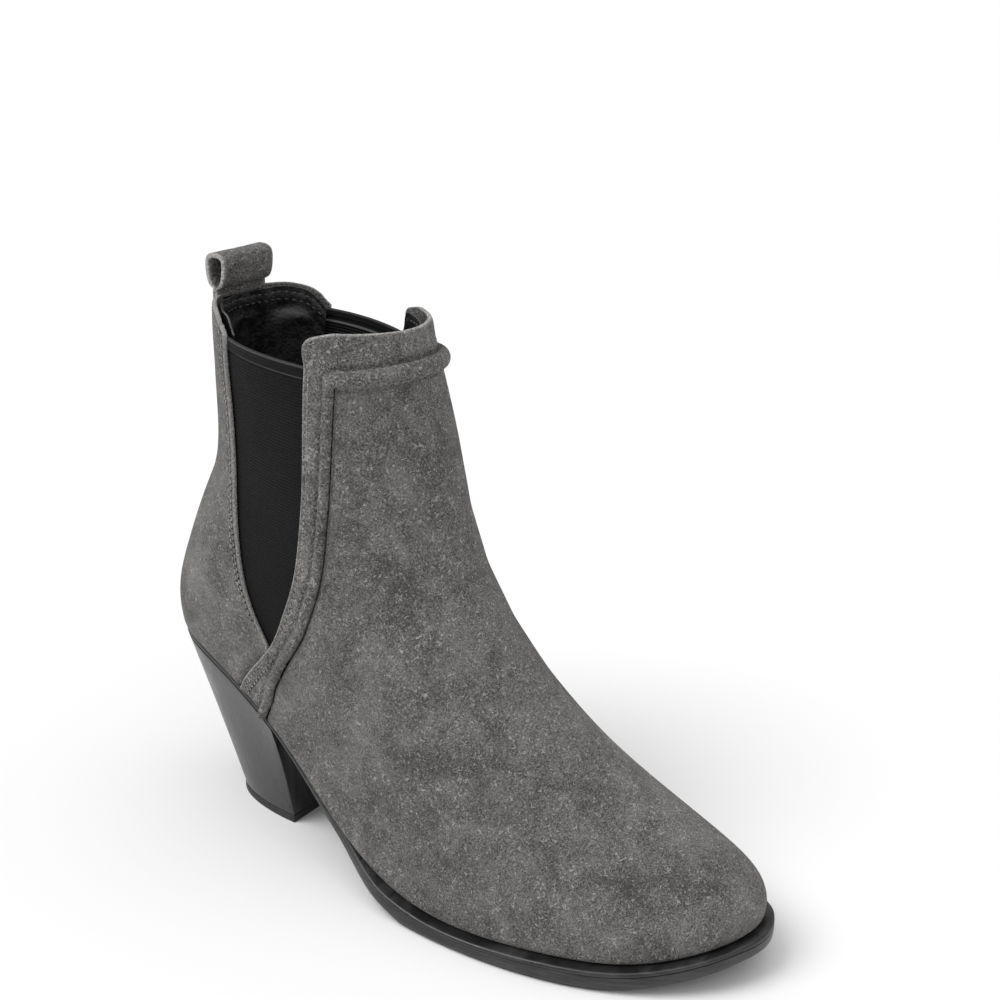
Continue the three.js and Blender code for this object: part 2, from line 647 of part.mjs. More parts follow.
function makePullLoop() {
  // Section in the y, z plane: a drop that closes on a round knuckle at the hinge.
  const drop = (inset) => {
    const shape = new THREE.Path();
    const half = loopDepth / 2 - inset;
    const top = loopHeight - inset;
    const base = inset === 0 ? 0 : knuckleRadius + 1;
    const start = inset === 0 ? knuckleRadius : 0.2;
    shape.moveTo(start, base);
    shape.bezierCurveTo(start, base + 2, half, base + 2, half, top - half);
    shape.absarc(0, top - half, half, 0, Math.PI, false);
    shape.bezierCurveTo(-half, base + 2, -start, base + 2, -start, base);
    if (inset === 0) shape.absarc(0, 0, knuckleRadius, Math.PI, 2 * Math.PI, false);
    else shape.lineTo(start, base);
    return shape;
  };
  const section = new THREE.Shape(drop(0).getPoints(5));
  section.holes.push(new THREE.Path(drop(loopThickness).getPoints(5)));
  const strap = new THREE.ExtrudeGeometry(section, { depth: loopWidth, bevelEnabled: false });
  // The section's x becomes y, its y becomes z, and the extrusion runs along x.
  strap.translate(0, 0, -loopWidth / 2).rotateY(Math.PI / 2).rotateX(Math.PI / 2);
  strap.translate(hinge.x, hinge.y, hinge.z);
  piece("pull_loop", strap, "suede");

  const reach = degrees(loopWidth / 2, 0, hingeLevel);
  const drops = share(anchorDrop, 0, 0.9);
  const ends = (a, b) => [mix(-reach, reach, a), mix(hingeLevel - drops, hingeLevel - 0.002, b)];
  const layer = [-suede - layerGap / 2, middleLayer[1]];
  piece("pull_loop_anchor", slab(ends, layer, 6, 3), "suede");
}

makeVamp();
makeCollar();
makeCords();
makeQuarters();
makeGores();
makeLinings();
makeStiffeners();
makeWelt();
makeSole();
makeHeel();
makeBoard();
makeShank();
makeFillers();
makeHeelFasteners();
makeSock();
makePullLoop();

// The row's origin is the middle of the boot's footprint box, on the floor.
const room = new THREE.Box3().setFromObject(boot);
const centre = room.getCenter(new THREE.Vector3());
boot.position.set(-centre.x, -centre.y, -room.min.z);

export default boot;
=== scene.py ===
"""Suede chelsea boot, right foot: leathers, sewing, elastic gores, sole, heel and pull strap."""

import math

import bpy
import numpy as np
from mathutils import Matrix, Vector


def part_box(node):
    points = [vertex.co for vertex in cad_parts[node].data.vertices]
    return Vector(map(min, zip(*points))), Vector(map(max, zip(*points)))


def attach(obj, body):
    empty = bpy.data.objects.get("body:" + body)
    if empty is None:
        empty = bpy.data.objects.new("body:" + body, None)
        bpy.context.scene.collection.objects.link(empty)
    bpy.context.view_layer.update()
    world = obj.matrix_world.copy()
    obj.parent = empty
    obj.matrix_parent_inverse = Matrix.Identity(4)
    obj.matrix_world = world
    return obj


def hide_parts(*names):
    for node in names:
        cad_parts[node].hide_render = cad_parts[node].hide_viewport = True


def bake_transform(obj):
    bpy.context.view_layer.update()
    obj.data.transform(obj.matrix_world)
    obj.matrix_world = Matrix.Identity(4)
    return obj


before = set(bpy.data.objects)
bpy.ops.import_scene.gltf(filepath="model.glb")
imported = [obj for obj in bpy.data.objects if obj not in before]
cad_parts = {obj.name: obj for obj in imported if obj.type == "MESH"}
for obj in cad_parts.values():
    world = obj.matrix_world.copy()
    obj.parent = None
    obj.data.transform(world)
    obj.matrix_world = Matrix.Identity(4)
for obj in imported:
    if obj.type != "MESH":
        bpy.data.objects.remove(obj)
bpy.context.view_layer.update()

MM = 0.001
ROW_ORIGIN = np.array([3.780, 5.952, 0.0])

# ---- The last's surface, in mm: angle 0 at the back seam, 90 lateral, 180 front, 270 medial, and
# level 0 at the feather line, 1 above the rim.
BACK = [(122, 74), (123, 82), (123, 92), (114, 112), (105, 132), (96, 148), (97, 170), (98, 188), (96, 206)]
FRONT = [(-131, 17), (-133, 30), (-114, 41), (-75, 56), (-33, 90), (-9, 127), (-2, 161), (7, 187), (13, 206)]
SAG = [1, 0.85, 0.6, 0.36, 0.14, 0.04, 0, 0, 0]
HALF_WIDTH = [
    (45, 46, 34, 35, 48, 51, 50),
    (46, 48, 36, 32, 49, 52, 50),
    (46, 48, 37, 33, 45, 44, 38),
    (42, 44, 38, 35, 38, 34, 29),
    (36, 38, 36, 34, 34, 30, 27),
    (34, 35, 34, 33, 33, 32, 30),
    (34, 34, 33, 32, 32, 32, 31),
    (34, 34, 34, 33, 31, 31, 31),
    (34, 34, 34, 33, 31, 31, 31),
]
MIDDLE = [(0, 0, 0, -9, -2, 3, 5), (0, 0, 0, -6, -2, 4, 5), (0, 0, 0, -4, -2, 2, 4), (0, 0, 0, -2, 0, 1, 2)]
MIDDLE += [(0,) * 7] * 5
FEATHER = [68.5, 67.5, 57, 40, 17, 6.5, 6, 8, 8, 17]

# Depths under the surface, mm
SUEDE = 1.6
GORE_OUT, GORE_IN = -2.2, -3.2
LINING_OUT, LINING_IN = -3.8, -4.6
PIPING_RADIUS, ROLL_RADIUS, CORD_FLATNESS = 1.9, 3.1, 0.9
SOLE_EDGE, SEAT_EDGE = 3.8, -1.0
BREAST_Y, HEEL_BACK_Y, HEEL_HALF_WIDTH, TOP_PIECE = 54.0, 92.0, 20.5, 3.2
LOOP_WIDTH, LOOP_HEIGHT, LOOP_THICKNESS = 26.0, 13.0, 1.8
LOOP_HALF_DEPTH, LOOP_CROWN = 3.9, 3.2  # to the middle of the strap


def spline_weights(t, count):
    """Index and four weights of an eased cubic that meets its first and last value."""
    u = np.clip(t, 0, 1) * (count - 1)
    i = np.minimum(u.astype(int), count - 2)
    f = u - i
    g = 1 - f
    return i, [g**3, 3 * f**3 - 6 * f**2 + 4, 3 * g**3 - 6 * g**2 + 4, f**3]


def smooth(values, t):
    """The eased curve through rows of values (last axis runs along the curve) at t from 0 to 1."""
    v = np.asarray(values, float)
    padded = np.concatenate([2 * v[..., :1] - v[..., 1:2], v, 2 * v[..., -1:] - v[..., -2:-1]], axis=-1)
    i, weights = spline_weights(np.asarray(t, float), v.shape[-1])
    return sum(w * np.take(padded, i + k, axis=-1) for k, w in enumerate(weights)) / 6


def smooth_rows(values, t, s):
    """Value at level t and station s of a table with levels down and stations across."""
    table = smooth(np.asarray(values, float).T, t)
    i, weights = spline_weights(np.asarray(s, float), table.shape[0])
    padded = np.concatenate([2 * table[:1] - table[1:2], table, 2 * table[-1:] - table[-2:-1]])
    picks = [np.take_along_axis(padded, (i + k)[None], 0)[0] for k in range(4)]
    return sum(w * p for w, p in zip(weights, picks)) / 6


def surface(angle, level):
    angle, level = np.broadcast_arrays(np.asarray(angle, float), np.asarray(level, float))
    turned = np.mod(angle, 360)
    lateral = turned <= 180
    fold = np.radians(np.where(lateral, turned, 360 - turned))
    s = (1 - np.cos(fold)) / 2
    back = [smooth([b[k] for b in BACK], level) for k in (0, 1)]
    front = [smooth([f[k] for f in FRONT], level) for k in (0, 1)]
    chord = BACK[0][1] * (1 - s) + FRONT[0][1] * s
    dip = smooth(FEATHER, s) - chord
    half = smooth_rows(HALF_WIDTH, level, fold / math.pi)
    middle = smooth_rows(MIDDLE, level, fold / math.pi)
    x = middle + np.where(lateral, -1, 1) * np.sin(fold) * half
    y = back[0] * (1 - s) + front[0] * s
    z = back[1] * (1 - s) + front[1] * s + smooth(SAG, level) * dip
    return np.stack([x, y, z], -1)


def outward(angle, level):
    around = surface(angle + 0.5, level) - surface(angle - 0.5, level)
    low = np.maximum(level - 0.01, 0)
    upward = surface(angle, np.minimum(level + 0.01, 1)) - surface(angle, low)
    n = np.cross(around, upward)
    return n / np.linalg.norm(n, axis=-1, keepdims=True)


def under(angle, level, depth):
    """Points at a depth under the surface, mm."""
    angle, level = np.broadcast_arrays(np.asarray(angle, float), np.asarray(level, float))
    return surface(angle, level) + outward(angle, level) * np.asarray(depth)[..., None]


def degrees_per_mm(angle, level):
    return 2 / np.linalg.norm(surface(angle + 1, level) - surface(angle - 1, level), axis=-1)


def levels_per_mm(angle, level):
    return 0.02 / np.linalg.norm(surface(angle, level + 0.01) - surface(angle, level - 0.01), axis=-1)


def line_through(points):
    """A smooth curve y(x) through the points."""
    xs, ys = np.array(points, float).T
    slopes = np.gradient(ys, xs)

    def value(x):
        x = np.asarray(x, float)
        k = np.clip(np.searchsorted(xs, x) - 1, 0, len(xs) - 2)
        h = xs[k + 1] - xs[k]
        t = np.clip((x - xs[k]) / h, 0, 1)
        a, b = (1 + 2 * t) * (1 - t) ** 2, t**2 * (3 - 2 * t)
        c, d = t * (1 - t) ** 2, t**2 * (t - 1)
        return a * ys[k] + b * ys[k + 1] + h * (c * slopes[k] + d * slopes[k + 1])

    return value


GORE_POINT = 0.327
REAR_TOP, FRONT_TOP = 0.92, 0.894
gore_rear = line_through([(0.327, 68), (0.39, 63), (0.5, 59.5), (0.65, 56.5), (0.8, 58), (0.98, 63)])
gore_front = line_through([(0.327, 68), (0.43, 77), (0.54, 88.5), (0.65, 97), (0.77, 103), (0.92, 111)])
strip_rear = line_through([(0, 54), (0.12, 57), (0.226, 61.5), (0.327, 68)])
piping_line = line_through(
    [(0, 60.5), (0.12, 63), (0.25, 67.5), (0.37, 76), (0.46, 86.5), (0.56, 99), (0.65, 107), (0.78, 115),
        (0.88, 121.5)]
)
back_rim = line_through([(0, 0.976), (0.35, 0.977), (0.65, 0.974), (0.85, 0.956), (1, REAR_TOP)])
ROLL_END = 122.5


def roll_level(angle):
    return 0.874 + 0.019 * np.sin(np.clip((angle - ROLL_END) / (360 - 2 * ROLL_END), 0, 1) * math.pi)


def mirrored(angle, medial):
    return 360 - angle if medial else angle


# ---- Making meshes
def make_object(name, points, faces, attributes=None, smooth_faces=True):
    """A mesh object from points in mm in the last's axes, with float attributes on its points."""
    mesh = bpy.data.meshes.new(name)
    mesh.from_pydata(((points + ROW_ORIGIN) * MM).tolist(), [], faces)
    for key, values in (attributes or {}).items():
        mesh.attributes.new(key, "FLOAT", "POINT").data.foreach_set("value",
            np.asarray(values, np.float32).ravel())
    mesh.polygons.foreach_set("use_smooth", [smooth_faces] * len(mesh.polygons))
    face_out(mesh)
    obj = bpy.data.objects.new(name, mesh)
    bpy.context.scene.collection.objects.link(obj)
    return obj


def face_out(mesh):
    """Turns a closed mesh's faces round if they point inwards."""
    mesh.calc_loop_triangles()
    co = np.empty(len(mesh.vertices) * 3)
    mesh.vertices.foreach_get("co", co)
    tri = np.empty(len(mesh.loop_triangles) * 3, int)
    mesh.loop_triangles.foreach_get("vertices", tri)
    a, b, c = co.reshape(-1, 3)[tri].reshape(-1, 3, 3).transpose(1, 0, 2)
    if np.einsum("ij,ij->i", a, np.cross(b, c)).sum() < 0:
        mesh.flip_normals()


def grid_faces(across, up, close_across=False):
    """Quads of a grid of points numbered row by row."""
    j, i = np.mgrid[0 : up - 1, 0 : across if close_across else across - 1]
    k = (i + 1) % across
    quads = np.stack([j * across + i, j * across + k, (j + 1) * across + k, (j + 1) * across + i], -1)
    return quads.reshape(-1, 4).tolist()


def slab_faces(across, up):
    """Faces of two grids, one behind the other, and of the wall round their rim."""
    n = across * up
    faces = grid_faces(across, up)
    faces += [[a + n, d + n, c + n, b + n] for a, b, c, d in faces]
    rim = list(range(across)) + [j * across + across - 1 for j in range(1, up)]
    rim += [(up - 1) * across + i for i in range(across - 2, -1, -1)]
    rim += [j * across for j in range(up - 2, 0, -1)]
    return faces + [[w, v, v + n, w + n] for v, w in zip(rim, rim[1:] + rim[:1])]


def tube_faces(sides, rows):
    """Faces of a stack of closed rings, with both ends capped."""
    caps = [list(range(sides))[::-1], list(range((rows - 1) * sides, rows * sides))]
    return grid_faces(sides, rows, True) + caps


def finish_piece(obj, material, nodes):
    obj.data.materials.append(material)
    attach(obj, "root")
    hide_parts(*nodes)


EDGE_STEPS = np.array([0, 0.1, 0.25, 0.5, 0.8, 1.2, 1.7, 2.3, 3.0])


def graded(length, step, count=None):
    """Places along a length, close together by both ends; count keeps rows of a grid alike."""
    ends = EDGE_STEPS * min(1.0, length / 10)
    if count is None:
        count = max(4, int((length - 2 * ends[-1]) / step))
    middle = np.linspace(ends[-1], length - ends[-1], count + 1)[1:-1]
    return np.concatenate([ends, middle, length - ends[::-1]])


def arc_lengths(points):
    steps = np.linalg.norm(np.diff(points, axis=0), axis=-1)
    return np.concatenate([[0], np.cumsum(steps)])


class Panel:
    """A leather between edges. place(a, b) gives angle and level, for a across and b upwards."""

    def __init__(self, place, step=1.7):
        fine = np.linspace(0, 1, 161)
        column = surface(*place(np.full(161, 0.5), fine))
        heights = arc_lengths(column)
        up = graded(heights[-1], step)
        b = np.interp(up, heights, fine)
        rows, lengths = [], []
        for level in b:
            length = arc_lengths(surface(*place(fine, np.full(161, level))))
            rows.append(length)
            lengths.append(length[-1])
        count = max(4, int((max(lengths) - 6) / step))
        places = [graded(length, step, count) for length in lengths]
        a = np.array([np.interp(p, row, fine) for p, row in zip(places, rows)])
        self.angle, self.level = place(a, np.repeat(b[:, None], a.shape[1], 1))
        self.left = np.array(places)
        self.right = np.array(lengths)[:, None] - self.left
        self.bottom = np.repeat(up[:, None], a.shape[1], 1)
        self.top = heights[-1] - self.bottom
        self.edge = np.minimum(np.minimum(self.left, self.right), np.minimum(self.bottom, self.top))
        self.a, self.b = a, np.repeat(b[:, None], a.shape[1], 1)

    def build(self, name, outer, inner, relief=0.0, roundness=0.6):
        """A closed slab between two depths, its outer rim rounded and lifted by relief."""
        dip = np.clip(roundness - self.edge, 0, roundness)
        fall = roundness - np.sqrt(np.maximum(roundness**2 - dip**2, 0))
        top = under(self.angle, self.level, outer + relief - fall)
        low = under(self.angle, self.level, inner + relief * 0.9)
        up, across = self.edge.shape
        faces = slab_faces(across, up)
        cut = np.clip(1.15 - self.edge / 0.8, 0, 1)
        edge = np.concatenate([cut.ravel(), (self.edge < 0.3).astype(float).ravel()])
        return make_object(name, np.concatenate([top.reshape(-1, 3), low.reshape(-1, 3)]), faces,
                           {"cut_edge": edge})


def groove(distance, at, width, depth):
    """A sewn channel: the leather pulled in at a distance from an edge."""
    return -depth * np.exp(-(((distance - at) / width) ** 2))


def ridge(distance, at, width, height):
    """A soft raised line at a distance from an edge."""
    return groove(distance, at, width, -height)


def sunk_edge(distance):
    """The leather pulled in where it is held down along an edge."""
    return groove(distance, 0.0, 1.1, 0.5)


def swept_cord(name, angle, level, radius, depth, sides, swell):
    """A slightly flat cord along (angle, level) points, its middle at a depth."""
    centre = under(angle, level, np.broadcast_to(depth, (len(angle),)))
    out = outward(angle, level)
    along = np.gradient(centre, axis=0)
    along /= np.linalg.norm(along, axis=-1, keepdims=True)
    side = np.cross(along, out)
    side /= np.linalg.norm(side, axis=-1, keepdims=True)
    size = radius * swell
    turn = np.linspace(0, 2 * math.pi, sides, endpoint=False)
    ring = np.cos(turn)[:, None] * side[:, None] + CORD_FLATNESS * np.sin(turn)[:, None] * out[:, None]
    points = centre[:, None] + ring * size[:, None, None]
    rows = len(angle)
    return make_object(name, points.reshape(-1, 3), tube_faces(sides, rows),
        {"cut_edge": np.zeros(rows * sides)})


def dense(start, end, step):
    return np.linspace(start, end, max(2, int(abs(end - start) / step)))


# ---- Footprint: outlines at a distance outside the feather line
SEAT_TIP, TOE_TIP = BACK[0][0], FRONT[0][0]


def feather(y):
    return smooth(FEATHER, np.clip((SEAT_TIP - np.asarray(y, float)) / (SEAT_TIP - TOE_TIP), 0, 1))


def ease(x, low, high):
    t = np.clip((np.asarray(x, float) - low) / (high - low), 0, 1)
    return t * t * (3 - 2 * t)


def waist(y):
    return ease(y, BREAST_Y - 60, BREAST_Y)


def edge_out(y):
    return SOLE_EDGE + (SEAT_EDGE - SOLE_EDGE) * ease(y, BREAST_Y - 66, BREAST_Y - 36)


RING = 360
RING_ANGLES = np.arange(RING) * 360 / RING
FEATHER_RING = surface(RING_ANGLES, 0.0)
ring_along = np.roll(FEATHER_RING, -1, 0) - np.roll(FEATHER_RING, 1, 0)
RING_OUT = np.stack([ring_along[:, 1], -ring_along[:, 0]], -1)
RING_OUT /= np.linalg.norm(RING_OUT, axis=-1, keepdims=True)
if (RING_OUT[90] @ (FEATHER_RING[90, :2])) < 0:
    RING_OUT = -RING_OUT


def outline(distance):
    """The feather line moved out by a distance, in plan."""
    return FEATHER_RING[:, :2] + RING_OUT * np.broadcast_to(distance, (RING,))[:, None]


def footprint(name, profile, height):
    """A plate of rings. profile: rows of (how far out, offset in z); height(y) gives z."""
    rings = []
    for out, dz in profile:
        plan = outline(out(FEATHER_RING[:, 1]) if callable(out) else out)
        rings.append(np.column_stack([plan, height(plan[:, 1]) + (dz(plan[:, 1]) if callable(dz) else dz)]))
    count = len(rings)
    faces = grid_faces(RING, count, True)
    points = np.concatenate(rings)
    for ring_index, flip in ((0, False), (count - 1, True)):
        base = ring_index * RING
        half = RING // 2
        for k in range(half):
            a, b = base + k, base + k + 1
            c, d = base + (RING - k) % RING, base + (RING - k - 1) % RING
            quad = [v for i, v in enumerate([a, b, d, c]) if v not in [a, b, d, c][:i]]
            faces.append(quad if flip else quad[::-1])
    return make_object(name, points, faces)


# ---- Materials
def add(tree, kind, inputs=None, **settings):
    """A node with its settings, and its sockets set or linked."""
    node = tree.nodes.new(kind)
    for key, value in settings.items():
        setattr(node, key, value)
    for key, value in (inputs or {}).items():
        if isinstance(value, bpy.types.NodeSocket):
            tree.links.new(value, node.inputs[key])
        else:
            node.inputs[key].default_value = value
    return node


def calc(tree, operation, a, b=0.0, clamp=False):
    return add(tree, "ShaderNodeMath", {0: a, 1: b}, operation=operation, use_clamp=clamp).outputs[0]


def blend_colour(tree, factor, a, b):
    return add(tree, "ShaderNodeMix", {0: factor, 6: a, 7: b}, data_type="RGBA").outputs[2]


def times(tree, a, b, clamp=False):
    return calc(tree, "MULTIPLY", a, b, clamp)


def weighted(tree, a, share_a, b, share_b):
    return calc(tree, "ADD", times(tree, a, share_a), times(tree, b, share_b))


def set_relief(tree, result, strength, distance, height):
    bump = add(tree, "ShaderNodeBump", {"Strength": strength, "Distance": distance, "Height": height})
    tree.links.new(bump.outputs[0], result["Normal"])


def rescale(tree, value, low, high, new_low=0.0, new_high=1.0):
    inputs = {0: value, 1: low, 2: high, 3: new_low, 4: new_high}
    return add(tree, "ShaderNodeMapRange", inputs, interpolation_type="SMOOTHSTEP").outputs[0]


def noise(tree, vector, scale, detail=2.0, roughness=0.5, distortion=0.0):
    inputs = {"Vector": vector, "Scale": scale, "Detail": detail, "Roughness": roughness,
        "Distortion": distortion}
    return add(tree, "ShaderNodeTexNoise", inputs).outputs[0]


def shader_group(name, inputs):
    """An empty node group with named sockets: inputs are (name, kind)."""
    tree = bpy.data.node_groups.new(name, "ShaderNodeTree")
    for label, kind in inputs:
        tree.interface.new_socket(label, in_out="INPUT", socket_type="NodeSocket" + kind)
    for label, kind in (("Color", "Color"), ("Roughness", "Float"), ("Normal", "Vector")):
        tree.interface.new_socket(label, in_out="OUTPUT", socket_type="NodeSocket" + kind)
    given = tree.nodes.new("NodeGroupInput")
    result = tree.nodes.new("NodeGroupOutput")
    return tree, given.outputs, result.inputs


def make_nap_group():
    """Suede: brushed fibres in light and dark flecks, cloudy shading, and paler cut edges."""
    tree, given, result = shader_group(
        "suede_nap",
        [("Dark", "Color"), ("Light", "Color"),
         ("Cut", "Color"), ("Fleck Scale", "Float"), ("Cloud", "Float"),
         ("Depth", "Float")])
    where = add(tree, "ShaderNodeTexCoord").outputs["Object"]
    scale = given["Fleck Scale"]
    fleck = noise(tree, where, scale, 2.0, 0.6, 0.5)
    tuft = noise(tree, where, times(tree, scale, 0.4), 2.0, 0.5, 0.8)
    cloud = noise(tree, where, 75.0, 3.0, 0.6, 0.8)
    brushed = noise(tree, where, 17.0, 2.0, 0.5, 1.2)
    strand = noise(tree, where, times(tree, scale, 0.36), 0.5, 0.5, 1.4)
    curl = rescale(tree, calc(tree, "ABSOLUTE", calc(tree, "SUBTRACT", strand, 0.5)), 0.0, 0.075, 1.0, 0.0)
    grain = rescale(tree, weighted(tree, fleck, 0.8, tuft, 0.2), 0.34, 0.66)
    speck = weighted(tree, grain, 0.45, curl, 0.6)
    wide = weighted(tree, cloud, 0.6, brushed, 0.4)
    shade = times(tree, calc(tree, "SUBTRACT", wide, 0.5), given["Cloud"])
    level = calc(tree, "ADD", speck, times(tree, shade, 2.6), True)
    face = blend_colour(tree, level, given["Dark"], given["Light"])
    cut = add(tree, "ShaderNodeAttribute", attribute_name="cut_edge").outputs["Fac"]
    ragged = times(tree, cut, rescale(tree, fleck, 0.3, 0.6, 0.35, 1.0), True)
    tree.links.new(blend_colour(tree, ragged, face, given["Cut"]), result["Color"])
    tree.links.new(rescale(tree, fleck, 0.3, 0.7, 0.82, 0.98), result["Roughness"])
    height = weighted(tree, fleck, 0.5, curl, 0.5)
    set_relief(tree, result, 0.85, times(tree, given["Depth"], 0.0009), height)
    return tree


def make_grain_group():
    """Smooth leather: pebbled grain with fine creases."""
    tree, given, result = shader_group(
        "leather_grain",
        [("Base", "Color"), ("Worn", "Color"),
         ("Grain Scale", "Float"), ("Depth", "Float")])
    where = add(tree, "ShaderNodeTexCoord").outputs["Object"]
    pebble = add(tree, "ShaderNodeTexVoronoi", {"Vector": where, "Scale": given["Grain Scale"]},
        feature="SMOOTH_F1").outputs["Distance"]
    crease = noise(tree, where, 160.0, 4.0, 0.6, 1.4)
    patch = noise(tree, where, 45.0, 3.0, 0.5)
    worn = rescale(tree, weighted(tree, crease, 0.5, patch, 0.5), 0.42, 0.68)
    tree.links.new(blend_colour(tree, worn, given["Base"], given["Worn"]), result["Color"])
    tree.links.new(rescale(tree, crease, 0.3, 0.7, 0.33, 0.6), result["Roughness"])
    height = calc(tree, "ADD", times(tree, pebble, 0.6), crease)
    set_relief(tree, result, 0.6, times(tree, given["Depth"], 0.0005), height)
    return tree


def make_scuff_group():
    """Hard dressed surfaces: faint streaks along one way, patches and rubbed places."""
    tree, given, result = shader_group(
        "dressed_edge",
        [("Base", "Color"), ("Streak", "Color"),
         ("Stretch", "Vector"), ("Low", "Float"), ("High", "Float"), ("Depth", "Float")])
    where = add(tree, "ShaderNodeTexCoord").outputs["Object"]
    run = add(tree, "ShaderNodeVectorMath", {0: where, 1: given["Stretch"]}, operation="MULTIPLY").outputs[0]
    streak = noise(tree, run, 1.0, 4.0, 0.62, 0.5)
    patch = noise(tree, where, 38.0, 3.0, 0.55, 0.4)
    fine = noise(tree, where, 900.0, 2.0, 0.6)
    mixed = weighted(tree, streak, 0.7, patch, 0.3)
    tree.links.new(blend_colour(tree, rescale(tree, mixed, 0.38, 0.66), given["Base"], given["Streak"]),
        result["Color"])
    rubbed = add(tree, "ShaderNodeMapRange",
        {0: mixed, 1: 0.35, 2: 0.65, 3: given["Low"], 4: given["High"]}).outputs[0]
    tree.links.new(rubbed, result["Roughness"])
    height = calc(tree, "ADD", streak, times(tree, fine, 0.25))
    set_relief(tree, result, 0.5, times(tree, given["Depth"], 0.0004), height)
    return tree


def make_weave_group():
    """Elastic webbing: covered rubber threads along the ribs, bound by a fine cross thread, with painted
    highlight lines along the hem's folds.
    """
    tree, given, result = shader_group(
        "elastic_weave",
        [("Base", "Color"), ("Lit", "Color"), ("Line", "Color"), ("Thread", "Float")])
    where = add(tree, "ShaderNodeTexCoord").outputs["Object"]
    rib = add(tree, "ShaderNodeAttribute", attribute_name="rib").outputs["Fac"]
    cross = add(tree, "ShaderNodeAttribute", attribute_name="cross").outputs["Fac"]
    ridge = calc(tree, "SINE", times(tree, rib, 2 * math.pi / RIB_PITCH))
    knot = calc(tree, "SINE", calc(tree, "DIVIDE", times(tree, cross, 2 * math.pi), given["Thread"]))
    fuzz = noise(tree, where, 1500.0, 2.0, 0.6)
    patch = noise(tree, where, 60.0, 2.0, 0.5)
    weave = times(tree, rescale(tree, knot, -1.0, 1.0), rescale(tree, ridge, -0.6, 1.0))
    lit = times(tree, weave, rescale(tree, weighted(tree, fuzz, 0.6, patch, 0.4), 0.35, 0.65), True)
    # painted highlight: pale lines along the hem's lower edge and along its top fold
    below_hem = calc(tree, "ABSOLUTE", calc(tree, "SUBTRACT", rib, HEM))
    fold = calc(tree, "ABSOLUTE", calc(tree, "SUBTRACT", rib, 0.35))
    line = rescale(tree, calc(tree, "MINIMUM", below_hem, fold), 0.15, 0.5, 0.8, 0.0)
    face = blend_colour(tree, lit, given["Base"], given["Lit"])
    tree.links.new(blend_colour(tree, line, face, given["Line"]), result["Color"])
    tree.links.new(rescale(tree, fuzz, 0.3, 0.7, 0.6, 0.85), result["Roughness"])
    height = weighted(tree, weave, 0.8, fuzz, 0.4)
    set_relief(tree, result, 0.7, 0.0002, height)
    return tree


def material(name, group, values, shader):
    """A material: a group's colour, roughness and normal in a Principled shader with set sockets."""
    made = bpy.data.materials.new(name)
    made.use_nodes = True
    tree = made.node_tree
    tree.nodes.clear()
    surface_node = add(tree, "ShaderNodeBsdfPrincipled")
    output = add(tree, "ShaderNodeOutputMaterial")
    tree.links.new(surface_node.outputs[0], output.inputs["Surface"])
    placed = add(tree, "ShaderNodeGroup", node_tree=group)
    for key, value in values.items():
        placed.inputs[key].default_value = value
    tree.links.new(placed.outputs["Color"], surface_node.inputs["Base Color"])
    tree.links.new(placed.outputs["Roughness"], surface_node.inputs["Roughness"])
    tree.links.new(placed.outputs["Normal"], surface_node.inputs["Normal"])
    for key, value in shader.items():
        surface_node.inputs[key].default_value = value
    made.diffuse_color = tuple(list(values.values())[0])
    return made


def grey(value, warm=0.0):
    return (value * (1 + warm), value, value * (1 - warm), 1)


def dressed(name, base, streak, stretch, roughness, depth, shader={}):
    """A hard dressed surface, with its streaks stretched along each axis and its range of roughness."""
    values = {"Base": base, "Streak": streak, "Stretch": stretch, "Low": roughness[0], "High": roughness[1],
        "Depth": depth}
    return material(name, SCUFF, values, shader)


RIB_PITCH, HEM = 1.15, 4.4  # mm
NAP, GRAIN, SCUFF, WEAVE = make_nap_group(), make_grain_group(), make_scuff_group(), make_weave_group()
SHEEN = {"Sheen Weight": 0.12, "Sheen Roughness": 0.45, "Sheen Tint": (0.85, 0.83, 0.8, 1),
    "Specular IOR Level": 0.2}

SUEDE_CLOTH = material(
    "suede", NAP, {"Dark": grey(0.05, 0.03), "Light": grey(0.36, 0.035), "Cut": grey(0.42, 0.03),
                   "Fleck Scale": 1700.0, "Cloud": 0.5, "Depth": 1.3}, SHEEN)
SHAGGY = material(
    "suede_shaggy", NAP, {"Dark": grey(0.05, 0.03), "Light": grey(0.4, 0.035), "Cut": grey(0.5, 0.03),
                          "Fleck Scale": 1350.0, "Cloud": 0.4, "Depth": 1.9}, SHEEN)
LINING_LEATHER = material(
    "lining_leather", GRAIN, {"Base": grey(0.003), "Worn": grey(0.008), "Grain Scale": 800.0, "Depth": 1.1},
    {"Specular IOR Level": 0.75, "Coat Weight": 0.45, "Coat Roughness": 0.24})
INSOLE_LEATHER = material(
    "insole_leather", GRAIN, {"Base": grey(0.007), "Worn": grey(0.02), "Grain Scale": 1100.0, "Depth": 0.8},
    {})
SOLE_EDGE_DRESSING = dressed("sole_dressing", grey(0.009), grey(0.04), (60, 60, 700), (0.26, 0.5), 0.6,
    {"Specular IOR Level": 0.5})
HEEL_LACQUER = dressed("heel_lacquer", grey(0.005), grey(0.03), (620, 430, 20), (0.22, 0.42), 0.5,
    {"Coat Weight": 0.12, "Coat Roughness": 0.3, "Specular IOR Level": 0.4})
TOP_RUBBER = dressed("top_piece_rubber", grey(0.01), grey(0.035), (200, 200, 200), (0.5, 0.75), 0.8)
# the pale grey for the hem lines is a painted highlight along the hem's folds
ELASTIC = material("elastic_webbing", WEAVE,
    {"Base": grey(0.003), "Lit": grey(0.014), "Line": grey(0.09), "Thread": 0.62},
                   {"Sheen Weight": 0.03, "Specular IOR Level": 0.18})
GREY_THREAD = dressed("grey_thread", grey(0.12, 0.02), grey(0.42, 0.03), (1500, 1500, 1500), (0.6, 0.8), 0.3,
    {"Sheen Weight": 0.2})
